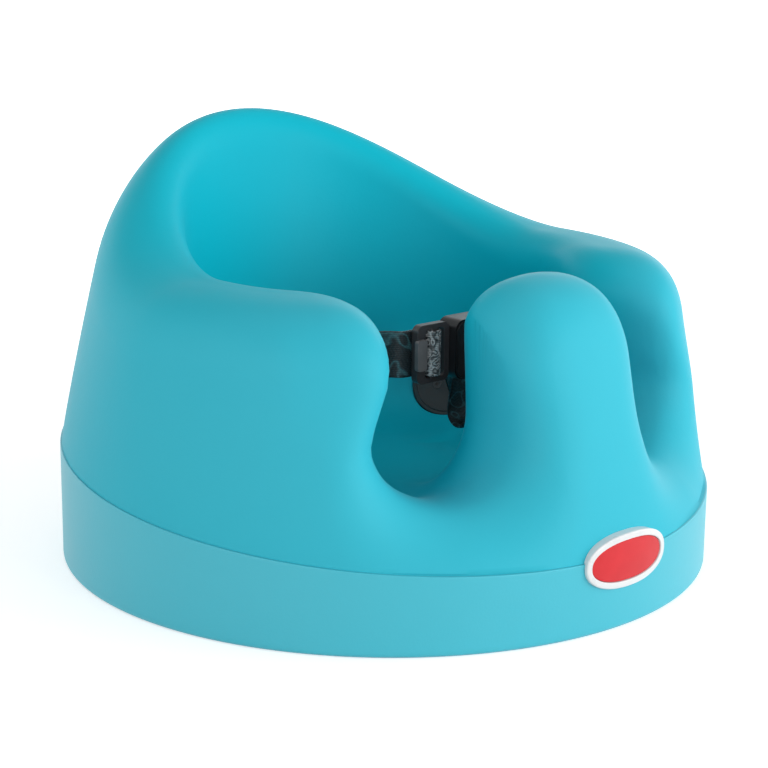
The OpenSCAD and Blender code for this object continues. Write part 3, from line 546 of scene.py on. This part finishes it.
def halfAngles(count):  # from front to back, closest together beside the post
    return np.radians(np.interp(np.linspace(0, 1, count + 1), tub["columnShares"], tub["columnAngles"]))


def mirrorRows(half):  # the half from front to back, then its mirror image back to the front
    other = half[:, -2:0:-1].copy()
    other[..., 0] *= -1
    return np.concatenate([half, other], 1)


# the foam's skin on a grid of angle and guide: each ray's way out, with the arms' ends leaning inwards
def tubSkin():
    a = halfAngles(tub["halfColumns"])
    c = tubColumn(a)
    guides = tubGuides(c, a)
    v = np.interp(np.linspace(0, 1, tub["rows"]), tub["rowShares"], tub["rowGuides"])
    k = np.minimum(v.astype(int), len(guides) - 2)
    part = (v - k)[:, None, None]
    g = guides[k] * (1 - part) + guides[k + 1] * part
    start = np.stack([g[:, 2], g[:, 3]], -1)
    way = unitRows(np.stack([g[:, 0], g[:, 1]], -1) - start)
    columns = {key: value[None, :] for key, value in c.items()}
    p = walkOut(columns, a[None, :], start, way, tub["steps"])
    x, f, z = p[..., 0] * np.sin(a), p[..., 0] * np.cos(a), p[..., 1]
    push = (tub["armLean"] * bump((z - tub["leanZ"]) / tub["leanReach"])
        * bump(armSide(x, f) / tub["leanSide"]) * ease((f - tub["openingStart"]) / tub["leanFront"]))
    return a, np.stack([x - push * math.cos(tilt), -f - push * math.sin(tilt), z], -1)


def ringAt(a, r, z):  # points of radius r and height z at the angles a, counted from the front
    return np.stack([r * np.sin(a), -r * np.cos(a), z + 0 * a], -1)


# rings of the flat underside, the foot that plugs into the band, the round above the seam, then the skin
def buildTub():
    a, skin = tubSkin()
    plug = tub["bandR"] - tub["bandWall"] - tub["gap"]
    edge = tub["seamRound"]
    below = [ringAt(a, plug * share, 0) for share in (0.25, 0.5, 0.75, 0.98, 1)]
    below.append(ringAt(a, plug, tub["plugEdge"]))
    for r, drop in ((plug, 1), (plug, 0), (plug + tub["ledge"], 0)):
        below.append(ringAt(a, r, seamZ(r, a) - drop))
    for t in np.linspace(0, math.pi / 2, 6):
        r = bodyR - edge + edge * math.sin(t)
        below.append(ringAt(a, r, seamZ(r, a) + edge * (1 - math.cos(t)) + tub["seamLift"]))
    start = tub["seamFront"] + edge + tub["skinStart"]
    first = next(i for i in range(len(skin)) if skin[i, :, 2].min() > start)
    grid = mirrorRows(np.concatenate([np.array(below), skin[first:]]))
    middle = (0, 0, grid[-1, :, 2].mean())
    return gridPiece("foamTub", grid, foamSkin, low=(0, 0, 0), high=middle, sharp=tub["crease"])


harness = {  # mm and degrees
    "anchorAngle": 113, "anchorZ": 73, "anchorTurn": 30, "crotchZ": 108, "seatLift": 1.5,
    "coverR": 24, "coverT": 3, "coverGap": 0.35, "seatDepth": 30, "pinDepth": 12.5, "pinR": 2.5,
    "webW": 25, "webT": 1.4, "tail": 42, "buckleY": 67, "buckleZ": 128.5, "barX": 28, "barR": 3.4,
    "frameT": 5, "insideWall": 140.0, "leanReach": 8, "wallSteps": 300,
}


def wallR(angle, z):  # the bowl's radius there: the way out of the wall, towards the middle
    a = np.array([math.radians(angle)])
    start = np.array([[harness["insideWall"], z]])
    return walkOut(tubColumn(a), a, start, np.array([[-1.0, 0.0]]), harness["wallSteps"])[0, 0]


# an anchor's seat on the wall, the direction out of it and the direction along its slot
def anchorFrame(place, heading, lean, turn):
    k, t, q = math.radians(heading), math.radians(lean), math.radians(turn)
    out = np.array([math.cos(t) * math.cos(k), math.cos(t) * math.sin(k), math.sin(t)])
    slot = (np.array([math.sin(t) * math.cos(k), math.sin(t) * math.sin(k), -math.cos(t)]) * math.cos(q)
        + np.array([-math.sin(k), math.cos(k), 0]) * math.sin(q))
    return {"seat": place + out * harness["seatLift"], "out": out, "slot": slot}


def lapAnchor():  # on the bowl's wall, leaning as the wall does there
    angle, z, reach = harness["anchorAngle"], harness["anchorZ"], harness["leanReach"]
    r, a = wallR(angle, z), math.radians(angle)
    lean = math.degrees(math.atan((wallR(angle, z + reach) - wallR(angle, z - reach)) / (2 * reach)))
    place = np.array([r * math.sin(a), -r * math.cos(a), z])
    return anchorFrame(place, 90 + angle, lean, harness["anchorTurn"])


def crotchAnchor():  # behind the post and level, its slot across
    z = harness["crotchZ"]
    return anchorFrame(np.array([0, -wallR(0, z), z]), 90, 0, 90)


def mirrored(anchor):
    return {key: value * np.array([-1, 1, 1]) for key, value in anchor.items()}


lap = lapAnchor()
crotch = crotchAnchor()


# round seats cut into the foam for the covers
def cutSeats(obj):
    cutter = bmesh.new()
    r, depth = (harness["coverR"] + harness["coverGap"]) * mm, harness["seatDepth"]
    for anchor in (lap, mirrored(lap), crotch):
        out = anchor["out"]
        side = unitRows(np.cross(out, [0, 0, 1.0]))
        matrix = placement(side, np.cross(side, out), out, (anchor["seat"] + out * (depth / 2)) * mm)
        bmesh.ops.create_cone(cutter, cap_ends=True, segments=128, radius1=r, radius2=r,
            depth=depth * mm, matrix=matrix)
    bmesh.ops.recalc_face_normals(cutter, faces=cutter.faces)
    mesh = bpy.data.meshes.new("seatCutter")
    cutter.to_mesh(mesh)
    cutter.free()
    tool = bpy.data.objects.new("seatCutter", mesh)
    bpy.context.scene.collection.objects.link(tool)
    cut = obj.modifiers.new("seats", "BOOLEAN")
    cut.operation = "DIFFERENCE"
    cut.object = tool
    cut.solver = "EXACT"
    bpy.context.view_layer.update()
    done = bpy.data.meshes.new_from_object(obj.evaluated_get(bpy.context.evaluated_depsgraph_get()))
    obj.modifiers.clear()
    old = obj.data
    obj.data = done
    bpy.data.meshes.remove(old)
    bpy.data.objects.remove(tool)
    done.polygons.foreach_set("use_smooth", np.ones(len(done.polygons), bool))
    done.set_sharp_from_angle(angle=math.radians(tub["crease"]))


foamTub = buildTub()
cutSeats(foamTub)
finishPiece(foamTub, "seat", "foam", "foam_body")
print("foam tub:", len(foamTub.data.polygons), "faces")

band = {  # mm; the radii and the wall are the tub's
    "foot": 2.5, "lip": 0.55, "flat": 3, "innerFoot": 0.3, "innerTop": 0.4, "columns": 360,
}


# the band's section goes along its underside, round the foot, up outside, over the lip and down inside
def buildBand():
    a = np.linspace(0, 2 * np.pi, band["columns"], endpoint=False)
    outR, inR, foot, lip = tub["bandR"], tub["bandR"] - tub["bandWall"], band["foot"], band["lip"]
    low, ledge, flat = band["innerFoot"], band["innerTop"], band["flat"]
    rows = [ringAt(a, inR, low), ringAt(a, inR + low, 0), ringAt(a, outR - foot - flat, 0)]
    for t in np.linspace(0, math.pi / 2, 7):
        rows.append(ringAt(a, outR - foot + foot * math.sin(t), foot - foot * math.cos(t)))
    top = seamZ(outR, a)
    rows += [ringAt(a, outR, foot + (top - lip - foot) * share) for share in (0.03, 0.2, 0.4, 0.6, 0.8, 0.97)]
    for t in np.linspace(0, math.pi / 2, 6):
        r = outR - lip + lip * math.cos(t)
        rows.append(ringAt(a, r, seamZ(r, a) - lip + lip * math.sin(t)))
    rows += [ringAt(a, r, seamZ(r, a)) for r in (outR - flat, inR + ledge)]
    rows += [ringAt(a, inR, seamZ(inR, a) - ledge), ringAt(a, inR, seamZ(inR, a) / 2), ringAt(a, inR, low)]
    return gridPiece("baseBand", np.array(rows), bandSkin, sharp=tub["crease"])


baseBand = buildBand()
finishPiece(baseBand, "seat", "foam_band", "base_band")
print("base band ready")

badge = {  # mm
    "width": 60, "height": 29, "z": 37, "border": 3.6, "proud": 2.0, "sink": 0.7, "foot": 181.6,
    "squareness": 2.25, "columns": 220, "outerRound": 0.9, "shoulder": 1.0, "innerRound": 0.6,
    "rimFoot": 0.2, "gap": 0.15, "faceRound": 0.4, "faceBack": 0.4, "swell": 0.45, "crease": 50,
}


# flat oval coordinates are wrapped round the band: s along it, h up it, r out from the centre
def onBand(s, h, r):
    turn = s / tub["bandR"]
    return np.stack([r * np.sin(turn), -r * np.cos(turn), badge["z"] + h + 0 * turn], -1)


def oval(inset):  # an ellipse a little squarer than a true one, the inset inside the badge's edge
    t = np.linspace(0, 2 * np.pi, badge["columns"], endpoint=False)
    p = 2 / badge["squareness"]
    s = np.sign(np.cos(t)) * np.abs(np.cos(t)) ** p * (badge["width"] / 2 - inset)
    h = np.sign(np.sin(t)) * np.abs(np.sin(t)) ** p * (badge["height"] / 2 - inset)
    return s, h


# the rim's section: out of the foam, a rounded crown, and down to the face, repeated round the oval
def buildRim():
    high, border = tub["bandR"] + badge["proud"], badge["border"]
    outer, inner = badge["outerRound"], badge["innerRound"]
    section = [(0.0, badge["foot"]), (0.0, high - badge["shoulder"])]
    for t in np.linspace(0.2, math.pi / 2, 6):
        section.append((outer - outer * math.cos(t), high - outer + outer * math.sin(t)))
    for t in np.linspace(0, math.pi / 2, 6):
        section.append((border - inner + inner * math.sin(t), high - inner + inner * math.cos(t)))
    section += [(border, tub["bandR"] + badge["rimFoot"]), (border, badge["foot"])]
    rows = [onBand(*oval(inset), r) for inset, r in section]
    rows.append(rows[0])
    return gridPiece("badgeRim", np.array(rows), badgeWhite, sharp=badge["crease"])


# the face is a rounded edge, then ovals that shrink to the middle and swell a little on the way
def buildFace():
    edge, corner = badge["border"] + badge["gap"], badge["faceRound"]
    level, back = tub["bandR"] + badge["proud"] - badge["sink"], tub["bandR"] - badge["faceBack"]
    rows = [onBand(*oval(edge), back)]
    for t in np.linspace(0, math.pi / 2, 5):
        inset = edge + corner - corner * math.cos(t)
        rows.append(onBand(*oval(inset), level - corner + corner * math.sin(t)))
    s, h = oval(edge + corner)
    for k in np.linspace(0.97, 0.02, 24):
        rows.append(onBand(s * k, h * k, level + badge["swell"] * (1 - k * k)))
    centre, behind = (onBand(np.zeros(1), np.zeros(1), r)[0] for r in (level + badge["swell"], back))
    return gridPiece("badgeFace", np.array(rows), badgeRed, low=behind, high=centre, sharp=badge["crease"])


badgeRim = buildRim()
badgeFace = buildFace()
finishPiece(badgeRim, "seat", "badge_white", "badge_rim")
finishPiece(badgeFace, "seat", "badge_red", "badge_face")
print("badge ready")

strap = {  # mm and degrees
    "acrossCount": 17, "edgeCount": 7, "crease": 60,  # points across the webbing and round its edge
    "fit": 0.2, "lift": 0.6, "tailLift": 0.4,  # round a pin, behind the plug's frame, between lead and tail
    "inside": 4, "leave": 2, "pull": 34, "climb": 6, "arrive": (21, 12, 5), "leadX": 18, "plugX": 10,
    "spacing": 1.2, "leadRounds": 12, "bendCount": 60, "bendShares": (0.04, 0.97), "insideShare": 0.02,
    "wrapTurn": -250, "wrapCount": 60, "wrapSpacing": 0.8, "enterX": 6, "enterY": 2.5, "enterCount": 14,
    "backSteps": ((5, 0.5), (9, 0.2)), "backFrom": 5, "backOver": 5, "roundFrom": 20, "wrapRounds": 3,
}


def cubic(p, count):  # a smooth bend through four control points
    t = np.linspace(0, 1, count)[:, None]
    return p[0] * (1 - t) ** 3 + 3 * p[1] * t * (1 - t) ** 2 + 3 * p[2] * t * t * (1 - t) + p[3] * t ** 3


# points at even spacing along the path, the width directions there, and the way run so far
def resample(path, widths, spacing):
    run = np.concatenate([[0], np.cumsum(np.linalg.norm(np.diff(path, axis=0), axis=1))])
    even = np.linspace(0, run[-1], max(int(run[-1] / spacing), 4))

    def spread(rows):
        return np.stack([np.interp(even, run, rows[:, i]) for i in range(3)], 1)

    return spread(path), spread(widths), even


def smoothPath(path, rounds):  # each point moves towards its neighbours' middle, again and again
    for _ in range(rounds):
        path = path.copy()
        path[1:-1] = (path[:-2] + 2 * path[1:-1] + path[2:]) / 4
    return path


# the webbing's section, a flat bar with round edges, is carried along the path and turned to the given widths
def stripPiece(name, path, widths, run, material):
    half, thick = harness["webW"] / 2, harness["webT"] / 2
    along = unitRows(np.gradient(path, axis=0))
    wide = unitRows(widths - along * np.sum(widths * along, -1, keepdims=True))
    normal = np.cross(along, wide)
    line = np.linspace(-1, 1, strap["acrossCount"]) * (half - thick)
    turn = np.linspace(-math.pi / 2, math.pi / 2, strap["edgeCount"])[1:-1]
    out, up = thick * np.cos(turn), thick * np.sin(turn)
    s = np.concatenate([line, half - thick + out, line[::-1], thick - half - out])
    h = np.concatenate([0 * line - thick, up, 0 * line + thick, -up])
    grid = path[:, None] + wide[:, None] * s[None, :, None] + normal[:, None] * h[None, :, None]
    uv = np.stack(np.broadcast_arrays(run[:, None] * mm, s[None, :] * mm), -1)
    return gridPiece(name, grid, material, low=path[0], high=path[-1], uv=uv, sharp=strap["crease"])


def inPlug(x, y):  # a point by its place from the bar in the right-hand plug, at the buckle's height
    return np.array([harness["barX"] + x, y - harness["buckleY"], harness["buckleZ"]])


leadY = harness["frameT"] / 2 + strap["lift"] + harness["webT"] / 2
wrapR = harness["barR"] + strap["fit"] + harness["webT"] / 2
tailGap = harness["webT"] + strap["tailLift"]
eyeTop = harness["pinDepth"] - harness["pinR"] - strap["fit"] - harness["webT"] / 2
pinTop = harness["pinR"] + strap["fit"] + harness["webT"] / 2


# from the front of the anchor's pin, out of the slot and in one bend to the plug, turning upright on the way
def leadPath():
    seat, out = lap["seat"], lap["out"]
    pin = seat - out * harness["pinDepth"]
    leave = seat + out * (harness["coverT"] + strap["leave"])
    end = inPlug(strap["leadX"], leadY)
    bend = cubic([leave, leave + out * strap["pull"] + np.array([0, 0, strap["climb"]]),
        end + np.array(strap["arrive"]), end], strap["bendCount"])
    hidden = [pin + pinTop * out, seat - out * strap["inside"]]
    path = np.concatenate([hidden, bend, [inPlug(strap["plugX"], leadY)]])
    turning = np.linspace(*strap["bendShares"], strap["bendCount"])
    share = np.concatenate([[0, strap["insideShare"]], turning, [1]])
    widths = lap["slot"] + (np.array([0, 0, -1.0]) - lap["slot"]) * ease(share)[:, None]
    return path, widths


# into the plug, round its bar and back onto the first points of the tail
def wrapPath(back, backWidths):
    turn = np.radians(np.linspace(0, strap["wrapTurn"], strap["wrapCount"]))[:, None]
    wrap = inPlug(0, 0) + wrapR * np.concatenate([np.cos(turn), np.sin(turn), 0 * turn], 1)
    enter = cubic([inPlug(strap["plugX"], leadY), inPlug(strap["enterX"], leadY),
        inPlug(wrapR, strap["enterY"]), inPlug(wrapR, 0)], strap["enterCount"])
    steps = [inPlug(x, leadY + tailGap + y) for x, y in strap["backSteps"]]
    over = strap["backOver"]
    path = np.concatenate([enter, wrap[1:], steps, back[:over]])
    widths = np.concatenate([np.tile([0, 0, -1.0], (len(path) - over, 1)), backWidths[:over]])
    return path, widths


# the lead, the wrap round the plug's bar, and the tail, which is the lead's end moved behind it
def buildLapStrap(side, sign):
    flip = np.array([sign, 1, 1])

    def strip(name, path, widths, run, material):
        return stripPiece(name + side, path * flip, widths * flip * sign, run, material)

    fine, fineWidths, run = resample(*leadPath(), strap["spacing"])
    fine = smoothPath(fine, strap["leadRounds"])
    lead = strip("lapStrap", fine, fineWidths, run, webbing)
    normal = np.cross(unitRows(np.gradient(fine, axis=0)), unitRows(fineWidths))
    first = strap["backFrom"]
    part = slice(first, first + int(harness["tail"] / strap["spacing"]))
    back, backWidths = (fine - normal * tailGap)[::-1][part], fineWidths[::-1][part]
    turned, turnedWidths, turnedRun = resample(*wrapPath(back, backWidths), strap["wrapSpacing"])
    start = strap["roundFrom"]
    turned[start:] = smoothPath(turned[start:], strap["wrapRounds"])
    wrapPiece = strip("lapWrap", turned, turnedWidths, turnedRun, paintedGlintWebbing)
    tail = strip("lapTail", back, backWidths, run[-1] + strap["spacing"] * np.arange(len(back)), webbing)
    return lead, wrapPiece, tail, fine


crotchRun = {  # mm: a drop behind the cover, a turn below, a rise into the buckle and a loop round its pin
    "dropR": 8, "dropCount": 16, "turnR": 7.5, "turnZ": 92.5, "turnCount": 30, "outward": 3, "riseCount": 20,
    "pinR": 1.6, "pinDrop": 11, "pinBelow": 2, "loopEnd": 240, "loopCount": 24, "spacing": 0.9, "rounds": 4,
}


# a path in the middle plane, made of arcs and one eased rise
def buildCrotchStrap():
    c = crotchRun
    y0, z0, buckleY = crotch["seat"][1], harness["crotchZ"], -harness["buckleY"]
    turnY = c["outward"] - harness["buckleY"] - c["turnR"]
    dropY = turnY - c["turnR"]
    pinZ = harness["buckleZ"] - c["pinDrop"]

    def arc(y, z, r, first, last, count):
        t = np.radians(np.linspace(first, last, count))
        return np.stack([0 * t, y + r * np.cos(t), z + r * np.sin(t)], 1)

    t = np.linspace(0.05, 1, c["riseCount"])
    climb = pinZ - c["pinR"] - c["pinBelow"] - c["turnZ"]
    loopR = c["pinR"] + strap["fit"] + harness["webT"] / 2
    path = np.concatenate([
        np.array([[0, y0 - eyeTop, z0], [0, y0, z0]]),
        arc(dropY - c["dropR"], z0 - c["dropR"], c["dropR"], 90, 0, c["dropCount"]),
        arc(turnY, c["turnZ"], c["turnR"], 180, 360, c["turnCount"]),
        np.stack([0 * t, c["outward"] * (1 - ease(t)) + buckleY, c["turnZ"] + climb * t], 1),
        arc(buckleY, pinZ, loopR, -90, c["loopEnd"], c["loopCount"])])
    fine, widths, run = resample(path, np.tile([1.0, 0, 0], (len(path), 1)), c["spacing"])
    return stripPiece("crotchStrap", smoothPath(fine, c["rounds"]), widths, run, webbing)


# lead and tail stay where they are built, and the wrap stays with its plug
for side, sign in (("Left", -1), ("Right", 1)):
    lead, wrapPiece, tail, leadLine = buildLapStrap(side, sign)
    for piece in (lead, tail):
        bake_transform(piece)
    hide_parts("lap_strap_" + side.lower())
    finishPiece(wrapPiece, "plug_" + side.lower(), "webbing")
crotchStrap = buildCrotchStrap()
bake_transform(crotchStrap)
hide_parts("crotch_strap")
print("webbing ready")

hardware = {  # node: (piece, body, slot, material, edge round in mm, material of what stands proud in front)
    "buckle_front": ("buckleFront", "buckle", "buckle_black", housingPlastic, 0.55),
    "buckle_rear": ("buckleRear", "buckle", "buckle_black", housingPlastic, 0.5),
    "release_button": ("releaseButton", "button", "button_grey", buttonPlastic, 0.35),
    "plug_left": ("plugLeft", "plug_left", "buckle_black", plugPlastic, 0.5, tabPlastic),
    "plug_right": ("plugRight", "plug_right", "buckle_black", plugPlastic, 0.5, tabPlastic),
    "anchor_cover_left": ("anchorCoverLeft", "seat", "moulded_black", blackPlastic, 0.3),
    "anchor_cover_right": ("anchorCoverRight", "seat", "moulded_black", blackPlastic, 0.3),
    "anchor_cover_crotch": ("anchorCoverCrotch", "seat", "moulded_black", blackPlastic, 0.3),
}
softening = {  # mm and degrees
    "merge": 0.003, "flat": 0.6, "crease": 32, "segments": 3, "cornerFrom": 40, "proudBy": 0.1,
}


# a copy of the CAD shape, its triangles merged back into faces and its corners rounded
def softenNode(node, piece, body, slotName, material, width, proud=None):
    shape = bmesh.new()
    shape.from_mesh(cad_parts[node].data)
    bmesh.ops.remove_doubles(shape, verts=shape.verts, dist=softening["merge"] * mm)
    bmesh.ops.dissolve_limit(shape, angle_limit=math.radians(softening["flat"]),
        verts=shape.verts, edges=shape.edges)
    mesh = bpy.data.meshes.new(piece)
    shape.to_mesh(mesh)
    shape.free()
    mesh.polygons.foreach_set("use_smooth", np.ones(len(mesh.polygons), bool))
    mesh.set_sharp_from_angle(angle=math.radians(softening["crease"]))
    mesh.materials.append(material)
    if proud:
        mesh.materials.append(proud)
        front = (-harness["buckleY"] - harness["frameT"] / 2 - softening["proudBy"]) * mm
        for face in mesh.polygons:
            face.material_index = int(min(mesh.vertices[i].co.y for i in face.vertices) < front)
    obj = bpy.data.objects.new(piece, mesh)
    bpy.context.scene.collection.objects.link(obj)
    edge = obj.modifiers.new("roundEdges", "BEVEL")
    edge.width = width * mm
    edge.segments = softening["segments"]
    edge.limit_method = "ANGLE"
    edge.angle_limit = math.radians(softening["cornerFrom"])
    edge.use_clamp_overlap = True
    edge.harden_normals = True
    finishPiece(obj, body, slotName, node)


for node, values in hardware.items():
    softenNode(node, *values)
print("hardware ready")

kept = {  # CAD nodes whose own shape stays
    "anchor_cup_left": blackPlastic, "anchor_cup_right": blackPlastic, "anchor_cup_crotch": blackPlastic,
    "anchor_pin_left": steel, "anchor_pin_right": steel, "anchor_pin_crotch": steel,
    "anchor_screws": screwBlack, "buckle_screws": steel, "strap_pin": steel, "latch_leaf": steel,
}
for node, material in kept.items():
    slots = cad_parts[node].data.materials
    if not slots:
        slots.append(material)
    for i in range(len(slots)):
        slots[i] = material
print("CAD shapes that stay have their materials")

studio = {  # metres; strengths where 1 is white
    "sky": 0.56, "near": 0.25, "fade": 1.6, "floorGlow": 0.5, "wall": 0.32,
    "colour": (0.8, 0.8, 0.8, 1), "rough": 0.9, "gloss": 0.1,
    "floorR": (0.3, 1, 2, 3), "sweepR": 3.5, "sweep": 1, "wallR": 4.5, "wallTop": 2.6,
    "lamps": [  # place, aim, size in metres, power in watts, seen in gloss
        ((1.35, -1.6, 0.6), (0, 0, 0.1), 1.5, 23, False),
        ((0.25, -2.3, 0.4), (0, 0, 0.1), 1.4, 16, True),
        ((-1.8, -0.4, 0.4), (0, 0, 0.1), 1.1, 5, True),
    ],
}


def buildWorld():  # an even white sky
    world = bpy.data.worlds.new("studio")
    bpy.context.scene.world = world
    world.use_nodes = True
    shine = world.node_tree.nodes["Background"]
    shine.inputs["Color"].default_value = (1, 1, 1, 1)
    shine.inputs["Strength"].default_value = studio["sky"]


def backdropRays(tree):  # 1 for rays that show the backdrop, straight, through something clear or mirrored
    path = tree.nodes.new("ShaderNodeLightPath")
    direct = mathNode(tree, "MAXIMUM", path.outputs["Is Camera Ray"], path.outputs["Is Transmission Ray"])
    return mathNode(tree, "MAXIMUM", direct, path.outputs["Is Glossy Ray"])


# the floor shows its shadow near the object and is plain white further out; the wall also gives some light
def floorMaterial():
    material, tree, shader = newMaterial("paleFloor")
    shader.inputs["Base Color"].default_value = studio["colour"]
    shader.inputs["Roughness"].default_value = studio["rough"]
    shader.inputs["Specular IOR Level"].default_value = studio["gloss"]
    far = lengthNode(tree, tree.nodes.new("ShaderNodeTexCoord").outputs["Object"])
    shine = rampNode(tree, far, studio["near"], studio["fade"], low=studio["floorGlow"])
    shown = mathNode(tree, "MULTIPLY", shine, backdropRays(tree))
    beyond = mathNode(tree, "GREATER_THAN", far, studio["fade"])
    glow = mathNode(tree, "MAXIMUM", shown, mathNode(tree, "MULTIPLY", beyond, studio["wall"]))
    tree.links.new(glow, shader.inputs["Emission Strength"])
    shader.inputs["Emission Color"].default_value = (1, 1, 1, 1)
    return material


# rings of a round floor that sweeps up through a quarter turn into a wall
def buildFloor():
    material = floorMaterial()
    flat, t = studio["floorR"], np.linspace(0, math.pi / 2, 9)
    radii = np.concatenate([flat, studio["sweepR"] + studio["sweep"] * np.sin(t), [studio["wallR"]]]) / mm
    rise = studio["sweep"] * (1 - np.cos(t))
    heights = np.concatenate([np.zeros(len(flat)), rise, [studio["wallTop"]]]) / mm
    around = np.linspace(0, 2 * np.pi, 96, endpoint=False)
    rows = np.array([ringAt(around, r, h) for r, h in zip(radii, heights)])
    gridPiece("floor", rows, material, low=(0, 0, 0), sharp=60)


def buildLamps():  # square softboxes, each turned to its aim
    for i, (place, aim, width, power, glossy) in enumerate(studio["lamps"]):
        lamp = bpy.data.lights.new("softbox%d" % i, "AREA")
        lamp.shape = "SQUARE"
        lamp.size = width
        lamp.energy = power
        obj = bpy.data.objects.new("softbox%d" % i, lamp)
        obj.visible_glossy = glossy
        bpy.context.scene.collection.objects.link(obj)
        back = unitRows(np.array(place) - np.array(aim))
        side = unitRows(np.cross([0, 0, 1.0], back))
        obj.matrix_world = placement(side, np.cross(back, side), back, np.array(place))


buildWorld()
buildFloor()
buildLamps()
bpy.context.scene.view_settings.view_transform = "Standard"
print("studio ready")

bpy.context.view_layer.update()
